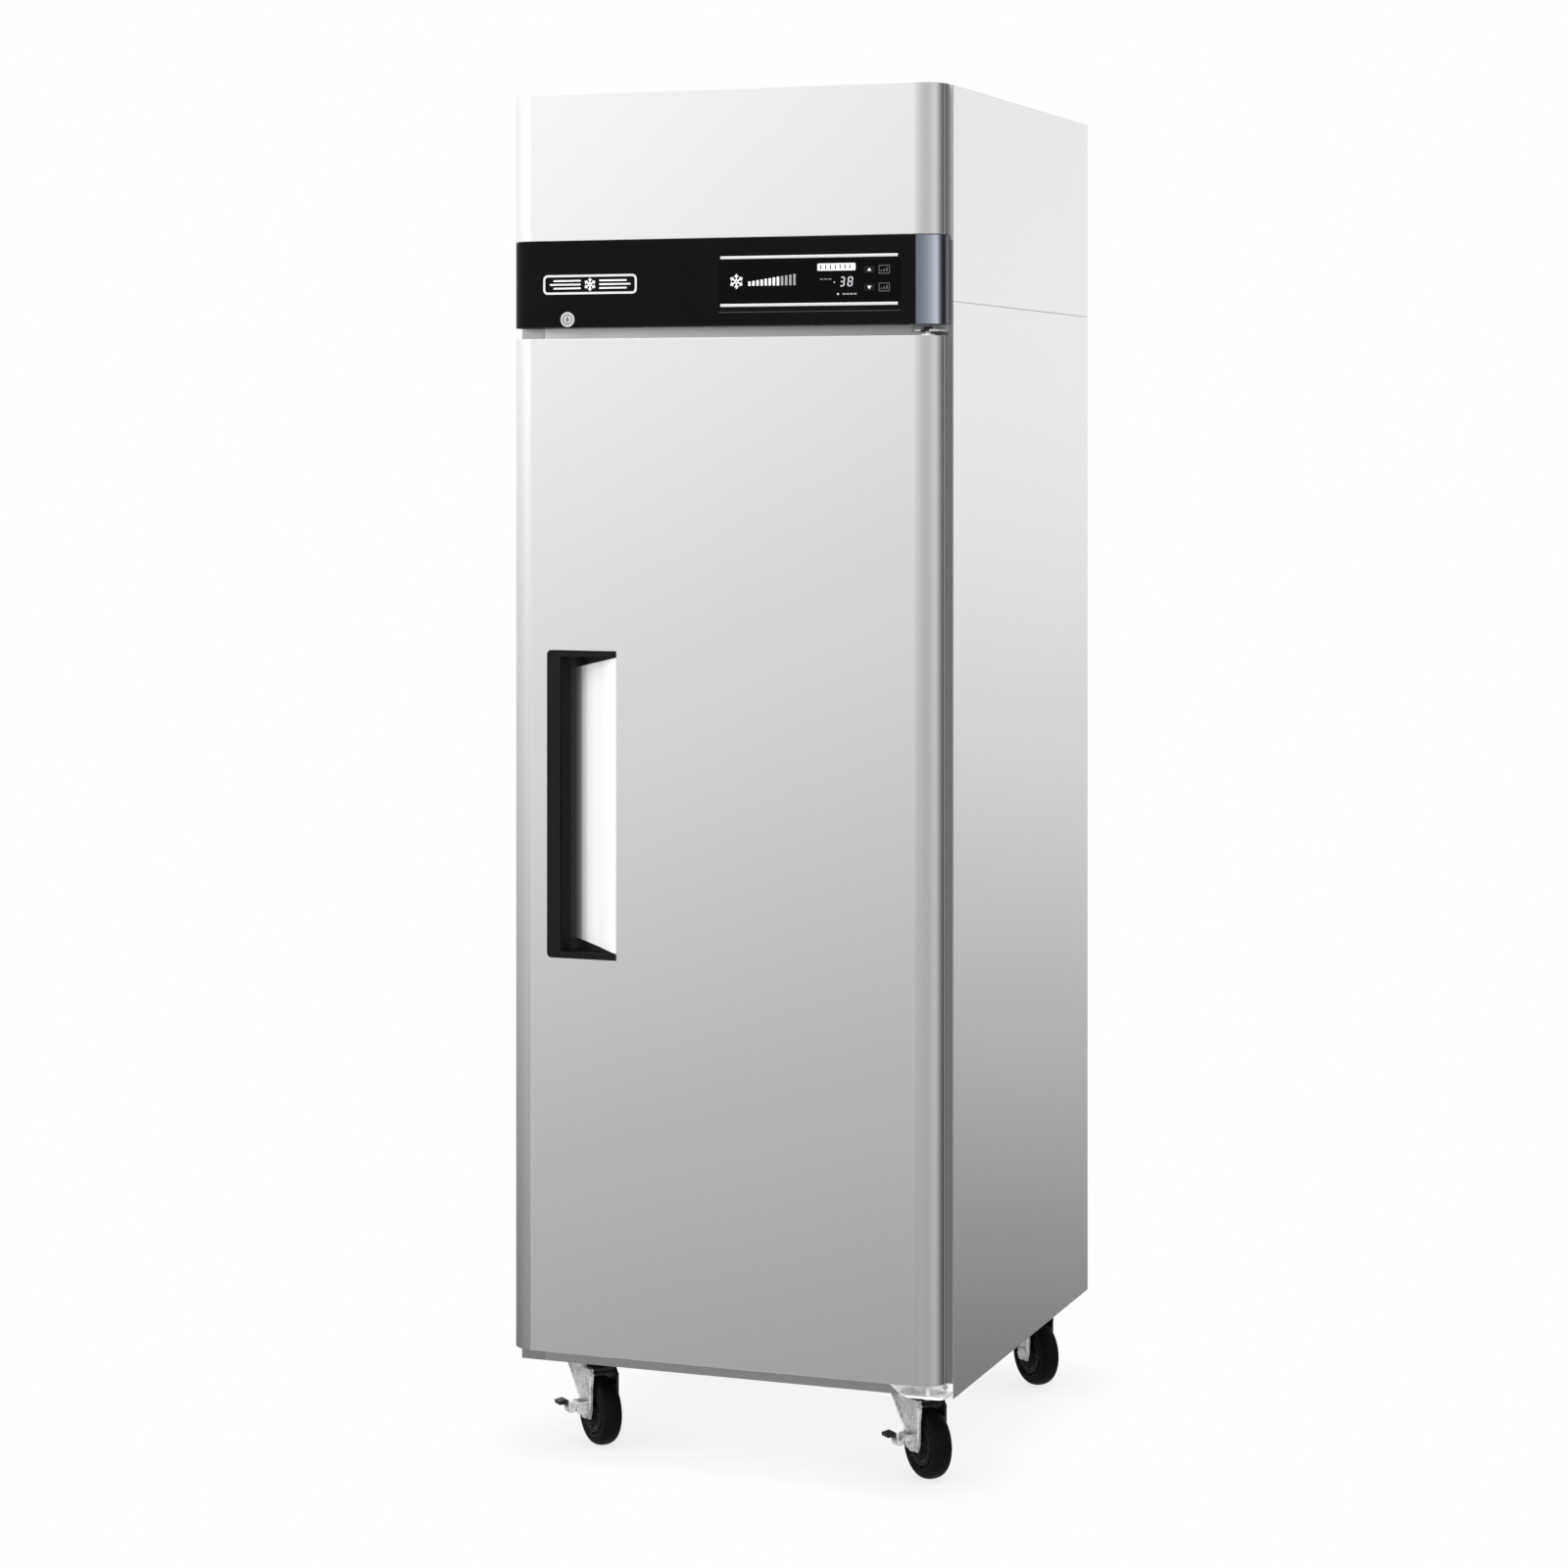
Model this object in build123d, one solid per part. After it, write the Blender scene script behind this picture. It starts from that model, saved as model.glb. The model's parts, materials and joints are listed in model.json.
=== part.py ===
"""One-section reach-in refrigerator with a top-mounted condensing unit, on casters.

Units are millimetres. The origin is on the floor under the middle of the
footprint, +Z is up, the door faces -Y and the door hinge is on the +X side.

Ways the object moves:
  door                 swings on two vertical pins on its +X edge
  fascia panel         swings up on two pins at its top edge
  door lock plug       turns a quarter turn and drops its cam into the door top
  two keys             travel 1 mm into the display window
  three wire shelves   lift off their clips
  two fan blades       spin
  four caster forks    swivel, and each wheel spins on its axle
  two brake levers     tip down on the front casters
"""
from build123d import *
import os
from math import cos, sin, radians

# ---------------------------------------------------------------- dimensions
GAP = 0.1               # clearance between neighbouring fixed pieces
RUN = 0.05              # radial running clearance
SIDES = (1, -1)

# cabinet
HALF_W = 333.0          # outer half width
Y_TOUCH = -400.0        # foremost point (handle lip, trim strips)
Y_FACE = -398.5         # front face of door, band and fascia
Y_CAB = -342.0          # front plane of the cabinet frame
Y_BACK = 398.0          # back plane of the sheet metal
Z_TOP = 1990.0
Z_BASE = 127.0          # underside of the cabinet, top of the caster plates
Z_SEAM = 1683.0         # seam between cabinet and machine compartment sides
DECK_Z = 1650.2         # top face of the deck that carries the condensing unit
T = 1.0                 # sheet thickness
FLANGE = 37.0           # width of the side panels' front flanges
REAR_FLANGE = 21.0
INSIDE_X = HALF_W - T - GAP             # half width of what fits between the sides
REAR_X = HALF_W - REAR_FLANGE - GAP     # half width between the rear flanges
FRAME_X = HALF_W - FLANGE - GAP         # half width between the front flanges
FRAME_Z0, FRAME_Z1 = 172.0, 1613.0      # breaker strips, bottom and top

# inner liner; LINE_X, LINE_Y place the refrigerant line holes
LINER_X, LINER_Z0, LINER_Z1 = 273.0, 197.0, 1590.0
LINER_Y0, LINER_Y1 = -330.0, 338.0
LINER_T = 0.8
LINE_X, LINE_Y, LINE_HOLE_R = (-215, -175), 150, 11.0

# door, control band and fascia
HALF_DOOR = 330.0
R_CORNER = 36.0         # vertical front corner radius of all three
DOOR_Z0, DOOR_Z1 = 154.5, 1634.0
DOOR_BACK = -353.0
BAND_Z0, BAND_Z1 = 1650.3, 1775.5
BAND_BACK = -345.2
CAP_X = 294.6           # where the end cap of the band starts
TAB_X = (-200, 40)      # screw tabs behind the band
FASCIA_Z0 = 1776.7
FASCIA_BACK = -350.0

# hinges
HINGE_X, HINGE_Y, PIN_R = 306.0, -376.0, 4.0
BRACKET_Z0, BRACKET_Z1 = 136.0, 139.0           # bottom bracket plate
TOP_BRACKET_Z0, TOP_BRACKET_Z1 = 1639.5, 1642.5
BRACKET_X = HALF_W - 0.2
F_PIN_Y, F_PIN_Z, F_PIN_R = -360.0, 1976.0, 3.0  # fascia pins

# lock
LOCK_X, LOCK_Z, LOCK_R = -235.6, 1662.0, 7.5
CAM_LEN = 37.0

# handle bezel, and its hole in the door skin
HAND_X0, HAND_X1 = -268.0, -160.0
HAND_Z0, HAND_Z1 = 731.0, 1180.0
HOLE_X0, HOLE_X1 = HAND_X0 + 5, HAND_X1 + GAP
HOLE_Z0, HOLE_Z1 = HAND_Z0 + 5, HAND_Z1 - 5
POCKET_DEPTH = 31.0
Y_DEEP = Y_FACE + POCKET_DEPTH

# display
WIN_X0, WIN_X1, WIN_Z0, WIN_Z1 = -0.9, 271.6, 1683.6, 1743.6
KEY_X, KEY_UP_Z, KEY_DOWN_Z = 226.7, 1727.5, 1702.5
KEY_HALF_W, KEY_HALF_H = 8.0, 5.0

# shelves
SHELF_Z = (470.0, 790.0, 1110.0)
PILASTER_X, PILASTER_Y = 267.0, (-255.0, 265.0)
SHELF_X, SHELF_Y = 258.0, 300.0                 # half sizes to the rim wire

# condensing unit
COIL_X0, COIL_X1, COIL_Y0, COIL_Y1, COIL_Z0, COIL_Z1 = -235.0, 45.0, -312.0, -268.0, 1668.0, 1962.0
COIL_MID_Y = -290
END_T = 2.5             # end plates of the condenser coil
COND_FAN = (-95.0, 1815.0)   # fan centre in X, Z
COND_SHAFT_R = 4.0
COMP_X, COMP_Y = 150.0, 95.0            # compressor centre
THIN_STUB = (COMP_X - 30, COMP_Y - 42)
THICK_STUB = (COMP_X + 46, COMP_Y + 20)

# evaporator section
EVAP_FAN = (0.0, 1500.0)     # fan centre in X, Z
EVAP_SHAFT_R = 3.0
EVAP_X, EVAP_Y0, EVAP_Z0 = 238.0, 20.0, 1424.0  # cover half width, front, bottom
EVAP_COIL_X = 205

# casters, modelled with the swivel axis on Z and the wheel behind at y = -TRAIL
CASTER_X, CASTER_Y_FRONT, CASTER_Y_REAR = 253.0, -274.0, 300.0
CASTER_ANGLE = 47       # swivel angle at rest
WHEEL_R, WHEEL_W, TRAIL = 50.8, 31.0, 40.0
AXLE_R, KING_R = 6.0, 6.0
BRAKE_X, BRAKE_Z, BRAKE_PIN_R = -38, 62, 2.5

os.makedirs("parts", exist_ok=True)


# ------------------------------------------------------------------- helpers
def box(x0, x1, y0, y1, z0, z1):
    middle = Pos((x0 + x1) / 2, (y0 + y1) / 2, (z0 + z1) / 2)
    return middle * Box(abs(x1 - x0), abs(y1 - y0), abs(z1 - z0))


def cyl_z(x, y, z0, z1, r):
    return Pos(x, y, (z0 + z1) / 2) * Cylinder(r, abs(z1 - z0))


def cyl_y(x, z, y0, y1, r):
    return Pos(x, (y0 + y1) / 2, z) * Rot(90, 0, 0) * Cylinder(r, abs(y1 - y0))


def cyl_x(y, z, x0, x1, r):
    return Pos((x0 + x1) / 2, y, z) * Rot(0, 90, 0) * Cylinder(r, abs(x1 - x0))


def fuse(items):
    return items[0].fuse(*items[1:]) if len(items) > 1 else items[0]


def cut(shape, items):
    return shape.cut(*items)


def rod(start, end, r):
    start, end = Vector(*start), Vector(*end)
    along = end - start
    return Plane(origin=start, z_dir=along) * Pos(0, 0, along.length / 2) * Cylinder(r, along.length)


def pipe(points, r):
    """Round bar along a polyline with bent corners, of radius 3 r where it fits."""
    pts = [Vector(*p) for p in points]
    runs = [(q - p).length for p, q in zip(pts, pts[1:])]
    bend = 3 * r
    if len(runs) > 2:
        bend = min(bend, min(runs[1:-1]) * 0.49)
    bend = min(bend, runs[0] * 0.9, runs[-1] * 0.9)
    path = FilletPolyline(*[tuple(p) for p in pts], radius=bend)
    return sweep(Plane(origin=path @ 0, z_dir=path % 0) * Circle(r), path=path)


def u_bend(x, side, y, z, reach, rise, r):
    """Return bend that leaves a coil end at x towards side (+1 or -1 in X)."""
    far = x + side * reach
    return pipe([(x, y, z), (far, y, z), (far, y, z + rise), (x, y, z + rise)], r)


def polar(centre, r, degrees, y):
    """Point at radius r round an (x, z) centre, in the plane at y."""
    a = radians(degrees)
    return (centre[0] + r * cos(a), y, centre[1] + r * sin(a))


def wire_ring(centre, y, r, wire_r):
    return Pos(centre[0], y, centre[1]) * Rot(90, 0, 0) * Torus(r, wire_r)


def edges_at(shape, axis, **at):
    """Straight edges parallel to axis whose middle has the given coordinates."""
    picked = []
    for e in shape.edges().filter_by(axis):
        c = e.center()
        if all(abs(getattr(c, k.upper()) - v) < 0.05 for k, v in at.items()):
            picked.append(e)
    return picked


def fillet_along(shape, axis, r):
    return fillet(shape.edges().filter_by(axis), r)


def front_block(inset, back, z0, z1):
    """Door-wide block with rounded front corners, shrunk by inset except at its back."""
    x, y = HALF_DOOR - inset, Y_FACE + inset
    b = box(-x, x, y, back, z0 + inset, z1 - inset)
    return fillet(edges_at(b, Axis.Z, x=-x, y=y) + edges_at(b, Axis.Z, x=x, y=y), R_CORNER - inset)


def biggest(shape):
    return max(shape.solids(), key=lambda s: s.volume)


def pair(shape):
    """A shape and its mirror image across X = 0."""
    return [shape, mirror(shape, Plane.YZ)]


def save(shape, name):
    """Write a shape or a list of shapes as one STEP file."""
    solids = shape if isinstance(shape, list) else shape.solids()
    flat = []
    for s in solids:
        flat += list(s.solids())
    export_step(Compound(children=flat) if len(flat) > 1 else flat[0], f"parts/{name}.step")


# ------------------------------------------------------- cabinet sheet metal
def side_sheet(z0, z1, extras):
    """+X side wall with front and rear flanges, its outer corners rounded."""
    x = HALF_W
    p = fuse([
        box(x - T, x, Y_CAB, Y_BACK, z0, z1),
        box(x - FLANGE, x - T / 2, Y_CAB, Y_CAB + T, z0, z1),
        box(x - REAR_FLANGE, x - T / 2, Y_BACK - T, Y_BACK, z0, z1),
    ] + extras)
    return fillet(edges_at(p, Axis.Z, x=x, y=Y_CAB) + edges_at(p, Axis.Z, x=x, y=Y_BACK), 0.9)


def cabinet_side_right():
    bottom_flange = box(HALF_W - REAR_FLANGE, HALF_W - T / 2, Y_CAB + T, Y_BACK - T,
                        Z_BASE, Z_BASE + T)
    return side_sheet(Z_BASE, Z_SEAM - 0.4, [bottom_flange])


def cabinet_side_left():
    return mirror(cabinet_side_right(), Plane.YZ)


def cabinet_rear_panel():
    sheet = box(-REAR_X, REAR_X, Y_BACK - T, Y_BACK, Z_BASE, Z_SEAM - 0.4)
    swage_x = (-150, 0, 150)
    swages = [box(x - 6, x + 6, Y_BACK - 2.4, Y_BACK - T, 300, 1500) for x in swage_x]
    grooves = [box(x - 5, x + 5, Y_BACK - 1.4, Y_BACK, 301, 1499) for x in swage_x]
    return cut(fuse([sheet] + swages), grooves)


def line_holes(z0, z1):
    return [cyl_z(x, LINE_Y, z0, z1, LINE_HOLE_R) for x in LINE_X]


def cabinet_top_deck():
    deck = box(-INSIDE_X, INSIDE_X, Y_CAB + T + GAP, Y_BACK - T - GAP, DECK_Z - 1.2, DECK_Z)
    return cut(deck, line_holes(DECK_Z - 5, DECK_Z + 5))


def base_pan():
    pan = box(-REAR_X, REAR_X, Y_CAB + T + GAP, Y_BACK - T - GAP, Z_BASE, Z_BASE + 1.5)
    rib_y = (-120, 20, 160)
    ribs = [box(-290, 290, y - 12, y + 12, Z_BASE - 3.0, Z_BASE + 1.5) for y in rib_y]
    hollows = [box(-288.5, 288.5, y - 10.5, y + 10.5, Z_BASE - 1.5, Z_BASE + 1.6) for y in rib_y]
    return cut(fuse([pan] + ribs), hollows)


# ------------------------------------------------------------ insulated shell
def insulation_foam():
    """Slabs at the two sides, back, top and bottom of the liner."""
    x = LINER_X + LINER_T + GAP
    liner_z0, liner_z1 = LINER_Z0 - LINER_T - GAP, LINER_Z1 + LINER_T + GAP
    liner_back = LINER_Y1 + LINER_T + GAP
    y0, y1 = LINER_Y0 + GAP, Y_BACK - 2.6
    z0, z1 = Z_BASE + 1.6, DECK_Z - 1.3
    return [
        box(x, INSIDE_X, y0, y1, z0, z1),
        box(-INSIDE_X, -x, y0, y1, z0, z1),
        box(-x, x, liner_back, y1, z0, z1),
        cut(box(-x, x, y0, liner_back, liner_z1, z1), line_holes(liner_z1 - 5, z1 + 5)),
        box(-x, x, y0, liner_back, z0, liner_z0),
    ]


def inner_liner():
    x = LINER_X + LINER_T
    outer = box(-x, x, LINER_Y0, LINER_Y1 + LINER_T, LINER_Z0 - LINER_T, LINER_Z1 + LINER_T)
    inner = box(-LINER_X, LINER_X, LINER_Y0 - 5, LINER_Y1, LINER_Z0, LINER_Z1)
    outer = fillet_along(outer, Axis.Y, 10.0 + LINER_T)
    inner = fillet_along(inner, Axis.Y, 10.0)
    liner = cut(outer, [inner] + line_holes(LINER_Z1 - 5, LINER_Z1 + 5))
    return cut(liner, [cyl_z(0, 0, LINER_Z0 - 2, LINER_Z0 + 1, 9.0)])


def breaker_strips():
    """Frame round the liner mouth with a shallow groove in its front face."""
    x = FRAME_X
    outer = box(-x, x, Y_CAB, LINER_Y0 - GAP, FRAME_Z0, FRAME_Z1)
    inner = box(-LINER_X - 0.2, LINER_X + 0.2, Y_CAB - 1, LINER_Y0 + 1,
                LINER_Z0 - 0.2, LINER_Z1 + 0.2)
    frame = cut(outer, [fillet_along(inner, Axis.Y, 10.0)])
    groove = cut(
        box(-x + 8, x - 8, Y_CAB - 1, Y_CAB + 0.8, FRAME_Z0 + 8, FRAME_Z1 - 8),
        [box(-x + 10, x - 10, Y_CAB - 2, Y_CAB + 2, FRAME_Z0 + 10, FRAME_Z1 - 10)])
    return cut(frame, [groove])


def front_frame():
    top = 1668.0
    header = fuse([
        box(-FRAME_X, FRAME_X, Y_CAB, Y_CAB + T, FRAME_Z1 + GAP, top),
        box(-FRAME_X, FRAME_X, Y_CAB + T / 2, -318.0, top - T, top),
    ])
    sill = box(-FRAME_X, FRAME_X, Y_CAB, Y_CAB + T, Z_BASE, FRAME_Z0 - GAP)
    return [header, sill]


# ------------------------------------------------------ machine compartment
def machine_side_panels():
    x = HALF_W
    panel = side_sheet(Z_SEAM, Z_TOP, [
        box(x - 19, x - T / 2, Y_CAB + T / 2, Y_BACK - T / 2, Z_TOP - T, Z_TOP),
        box(x - 6, x - T, Y_CAB + T + 1, Y_BACK - T - 1, Z_SEAM - 14, Z_SEAM + 6),
    ])
    # the joggle that laps inside the cabinet side is thinned to a sheet
    panel = cut(panel, [
        box(x - 5.0, x - 2.2, Y_CAB + 4, Y_BACK - 4, Z_SEAM - 15, Z_SEAM + 5),
        box(x - 6.5, x - 2.4, Y_CAB, Y_BACK, Z_SEAM - 15, Z_SEAM - 0.2),
    ])
    panel = cut(panel, [box(x - 1.05, x + 1, Y_CAB + 1, Y_BACK - 1, Z_SEAM - 16, Z_SEAM - 0.01)])
    # slivers left by the thinning are dropped
    solids = [s for s in panel.solids() if s.volume > 500]
    return solids + [mirror(s, Plane.YZ) for s in solids]


def machine_rear_grille():
    """Rear sheet with four columns of slots, each slot under a tilted hood."""
    grille = fuse([
        box(-REAR_X, REAR_X, Y_BACK - T, Y_BACK, Z_SEAM, Z_TOP),
        box(-REAR_X, REAR_X, Y_BACK - 18, Y_BACK - T / 2, Z_TOP - T, Z_TOP),
    ])
    half_slot = 52
    slots, hoods = [], []
    for x in (-205, -70, 70, 205):
        for i in range(11):
            z = Z_SEAM + 38 + i * 22
            slots.append(box(x - half_slot, x + half_slot, Y_BACK - 3, Y_BACK + 1, z, z + 9))
            hoods.append(Pos(x, Y_BACK - 3.6, z + 6.2) * Rot(-38, 0, 0)
                         * Box(2 * half_slot, 1.0, 12.5))
    grille = cut(grille, slots)
    behind = box(-400, 400, Y_BACK, Y_BACK + 20, Z_SEAM, Z_TOP)
    return fuse([grille] + [cut(h, [behind]) for h in hoods])


# ------------------------------------------------------------ hinge hardware
def hinge_brackets():
    plate = box(264, BRACKET_X, -391, Y_CAB, BRACKET_Z0, BRACKET_Z1)
    plate = chamfer(edges_at(plate, Axis.Z, x=264, y=-391), 14)
    plate = fillet(edges_at(plate, Axis.Z, x=BRACKET_X, y=-391), 10)
    # flange outline, columns x, z
    outline = Polyline((233, 149), (BRACKET_X, 149), (BRACKET_X, 127.2),
                       (256, 127.2), (233, 145), (233, 149))
    flange = extrude(Plane.XZ.offset(-Y_CAB) * make_face(outline), 3.0)
    bottom = fuse([plate, flange])
    bottom = cut(bottom, [cyl_z(HINGE_X, HINGE_Y, 130, 145, PIN_R)])
    bottom = cut(bottom, [box(281, 293, -358, -353, 130, 145)])

    z0, z1 = TOP_BRACKET_Z0, TOP_BRACKET_Z1
    plate = box(286, 327, -389, Y_CAB, z0, z1)
    corners = edges_at(plate, Axis.Z, x=286, y=-389) + edges_at(plate, Axis.Z, x=327, y=-389)
    top = fuse([fillet(corners, 9), box(272, 327, Y_CAB - 3, Y_CAB, z0, 1649.6)])
    top = cut(top, [cyl_z(HINGE_X, HINGE_Y, z0 - 5, z1 + 5, PIN_R)])

    arms = []
    for s in SIDES:
        arm = box(s * 311, s * 314, -367, Y_CAB - 2, 1968, 1982)
        arm = fillet(edges_at(arm, Axis.X, y=-367, z=1968)
                     + edges_at(arm, Axis.X, y=-367, z=1982), 6)
        foot = box(s * 299, s * 314, Y_CAB - 2, Y_CAB, 1962, 1984)
        arms.append(cut(fuse([arm, foot]), [cyl_x(F_PIN_Y, F_PIN_Z, s * 309, s * 316, F_PIN_R)]))
    return [bottom, top] + arms


def hinge_pins():
    """Two headed door pins, then the two headed fascia pins."""
    pins = []
    # columns: pin bottom, pin top, head bottom, head top
    for z0, z1, head_z0, head_z1 in (
            (BRACKET_Z0 - 3.5, 176, BRACKET_Z0 - 3.5, BRACKET_Z0),
            (1612, TOP_BRACKET_Z1 + 4.0, TOP_BRACKET_Z1, TOP_BRACKET_Z1 + 4.0)):
        pins.append(fuse([cyl_z(HINGE_X, HINGE_Y, z0, z1, PIN_R),
                          cyl_z(HINGE_X, HINGE_Y, head_z0, head_z1, 6.5)]))
    for s in SIDES:
        pins.append(fuse([cyl_x(F_PIN_Y, F_PIN_Z, s * 308.5, s * 327.0, F_PIN_R),
                          cyl_x(F_PIN_Y, F_PIN_Z, s * 308.5, s * 311, 5.0)]))
    return pins


def hinge_bushings():
    bushings = []
    # columns: barrel bottom and top, collar bottom and top, bore bottom and top
    for z0, z1, collar_z0, collar_z1, bore_z0, bore_z1 in (
            (153.1, 182.0, 152.6, 154.4, 100, 178),
            (1606.0, 1635.4, 1634.1, 1635.9, 1600, 1700)):
        b = fuse([cyl_z(HINGE_X, HINGE_Y, z0, z1, 7.9),
                  cyl_z(HINGE_X, HINGE_Y, collar_z0, collar_z1, 10.0)])
        bushings.append(cut(b, [cyl_z(HINGE_X, HINGE_Y, bore_z0, bore_z1, PIN_R + RUN)]))
    return bushings


# --------------------------------------------------------------------- door
def door_skin():
    skin = cut(front_block(0, DOOR_BACK, DOOR_Z0, DOOR_Z1),
               [front_block(T, DOOR_BACK - T, DOOR_Z0, DOOR_Z1)])
    return cut(skin, [
        box(-310, 310, DOOR_BACK - 3, DOOR_BACK + 2, 175, 1613.5),
        box(HOLE_X0, HOLE_X1, Y_FACE - 1, Y_FACE + 2, HOLE_Z0, HOLE_Z1),
        box(LOCK_X - 28, LOCK_X + 11, -385, -368, 1620.0, 1640.0),
        cyl_z(HINGE_X, HINGE_Y, 150, 160, 8.0),
        cyl_z(HINGE_X, HINGE_Y, 1630, 1640, 8.0),
    ])


# The handle is a C-shaped bezel round a dished pocket that is flush with the
# door face on its +X edge and deepest under the grip bar on its -X side.

# Plan curve of the dish: x, depth behind the door face
DISH_CURVE = (
    (HAND_X1, 0.2), (-176.0, 7.0), (-196.0, 18.0),
    (-214.0, POCKET_DEPTH - 5.5), (-229.0, POCKET_DEPTH), (-243.0, POCKET_DEPTH - 1.5),
)


def dish(z0, z1, inset, back):
    """Solid behind the dish curve, which is moved back by inset."""
    pts = [(x, Y_FACE + depth + inset) for x, depth in DISH_CURVE]
    outline = Polyline(pts[-1], (pts[-1][0], back), (pts[0][0], back), pts[0])
    face = make_face(Wire([Spline(*pts), *outline.edges()]))
    return Pos(0, 0, z0) * extrude(face, z1 - z0)


POCKET_Z0, POCKET_Z1 = HAND_Z0 + 9.0, HAND_Z1 - 9.0


def handle_pocket():
    return biggest(cut(dish(POCKET_Z0, POCKET_Z1, 0.0, -360.0),
                       [dish(POCKET_Z0 - 1, POCKET_Z1 + 1, 1.2, -355.0)]))


def handle_bezel():
    """Lip on the door face plus the walls of the recess."""
    lip = box(HAND_X0, HAND_X1, Y_TOUCH, Y_FACE, HAND_Z0, HAND_Z1)
    lip = fillet(edges_at(lip, Axis.Y, x=HAND_X0, z=HAND_Z0)
                 + edges_at(lip, Axis.Y, x=HAND_X0, z=HAND_Z1), 7.0)
    walls = box(HOLE_X0 + GAP, HAND_X1 - 2.0, Y_FACE - 0.5, Y_DEEP + 3.2,
                HOLE_Z0 + GAP, HOLE_Z1 - GAP)
    bezel = fuse([lip, walls])
    # opening seen from the front, +X side fully open
    rim = 9.2
    bezel = cut(bezel, [box(-247.0, HAND_X1 + 5, Y_TOUCH - 1, Y_FACE + 1.5,
                            HAND_Z0 + rim, HAND_Z1 - rim)])
    # hollow behind the grip bar, undercut towards -X for the fingers
    hollow = make_face(Wire([
        *Polyline((-244.0, Y_TOUCH - 1), (HAND_X1 + 5, Y_TOUCH - 1),
                  (HAND_X1 + 5, Y_DEEP + 1.4), (-236.0, Y_DEEP + 1.4)).edges(),
        Spline((-236.0, Y_DEEP + 1.4), (-247.0, Y_DEEP - 3.0), (-252.5, Y_DEEP - 13.0),
               (-250.0, Y_FACE + 7.0), (-244.0, Y_FACE + 3.0)),
        *Polyline((-244.0, Y_FACE + 3.0), (-244.0, Y_TOUCH - 1)).edges(),
    ]))
    bezel = cut(bezel, [Pos(0, 0, HAND_Z0 + rim) * extrude(hollow, HAND_Z1 - HAND_Z0 - 2 * rim)])
    bezel = cut(bezel, [dish(POCKET_Z0 - GAP, POCKET_Z1 + GAP, -GAP, -340.0)])
    # the top and bottom walls step forward towards the +X edge
    bezel = cut(biggest(bezel), [
        box(HAND_X1 - 40, HAND_X1 + 2, Y_FACE + 9.0, -340, HAND_Z0, HAND_Z1),
        box(HAND_X1 - 14, HAND_X1 + 2, Y_FACE + 3.0, -340, HAND_Z0, HAND_Z1),
    ])
    return biggest(bezel)


def door_foam():
    foam = front_block(T + GAP, DOOR_BACK - T - GAP, DOOR_Z0, DOOR_Z1)
    foam = fuse([foam, box(-260.8, 260.8, DOOR_BACK - 1.2, -342.2, 206.2, 1581.8)])
    return cut(foam, [
        box(HOLE_X0 - GAP, HOLE_X1 + 1.6, Y_FACE - 1, Y_DEEP + 4.0, HOLE_Z0 - GAP, HOLE_Z1 + GAP),
        box(LOCK_X - 29, LOCK_X + 12, -386, -367, 1619.0, 1640.0),
        cyl_z(HINGE_X, HINGE_Y, 150, 184, 8.0),
        cyl_z(HINGE_X, HINGE_Y, 1604, 1640, 8.0),
    ])


def door_liner():
    """Sheet with a raised, hollow centre that stands towards the cabinet."""
    sheet = box(-309.8, 309.8, DOOR_BACK - 1.0, DOOR_BACK, 175.2, 1613.3)
    raised = fillet_along(box(-262, 262, DOOR_BACK - 0.5, -341.0, 205, 1583), Axis.Y, 12)
    raised = fillet(raised.faces().sort_by(Axis.Y)[-1].edges(), 3.0)
    hollow = box(-261, 261, DOOR_BACK - 2, -342.0, 206, 1582)
    return cut(fuse([sheet, raised]), [hollow])


def door_gasket():
    """Frame with one groove round its outer edge and one round its inner edge."""
    outer = fillet_along(box(-306, 306, DOOR_BACK + GAP, Y_CAB - 0.2, 166, 1620), Axis.Y, 8)
    return cut(outer, [
        box(-282, 282, DOOR_BACK - 1, Y_CAB + 1, 190, 1596),
        cut(box(-310, 310, -350.5, -346.5, 160, 1626), [box(-301, 301, -351, -346, 171, 1615)]),
        cut(box(-287, 287, -350.5, -346.5, 185, 1601), [box(-281, 281, -351, -346, 191, 1595)]),
    ])


# ---------------------------------------------------- fascia and control band
def fascia_panel():
    """Open-backed shell with an ear for each pin, notched round the arms."""
    shell = cut(front_block(0, FASCIA_BACK, FASCIA_Z0, Z_TOP),
                [front_block(1.2, FASCIA_BACK + 5, FASCIA_Z0, Z_TOP)])
    ears = [box(s * 319, s * 323, -371, FASCIA_BACK - 1.0, 1965, Z_TOP - 0.6) for s in SIDES]
    holes = [cyl_x(F_PIN_Y, F_PIN_Z, s * 316, s * 326, F_PIN_R + RUN) for s in SIDES]
    notches = [box(s * 306, s * 317.5, -373, FASCIA_BACK + 1, 1984, Z_TOP + 1) for s in SIDES]
    notches += [box(s * 296, s * 317.5, -355.5, FASCIA_BACK + 1, 1980, Z_TOP + 1) for s in SIDES]
    return cut(fuse([shell] + ears), holes + notches)


def band_shell():
    return cut(front_block(0, BAND_BACK, BAND_Z0, BAND_Z1),
               [front_block(2.5, BAND_BACK + 5, BAND_Z0, BAND_Z1)])


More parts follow.
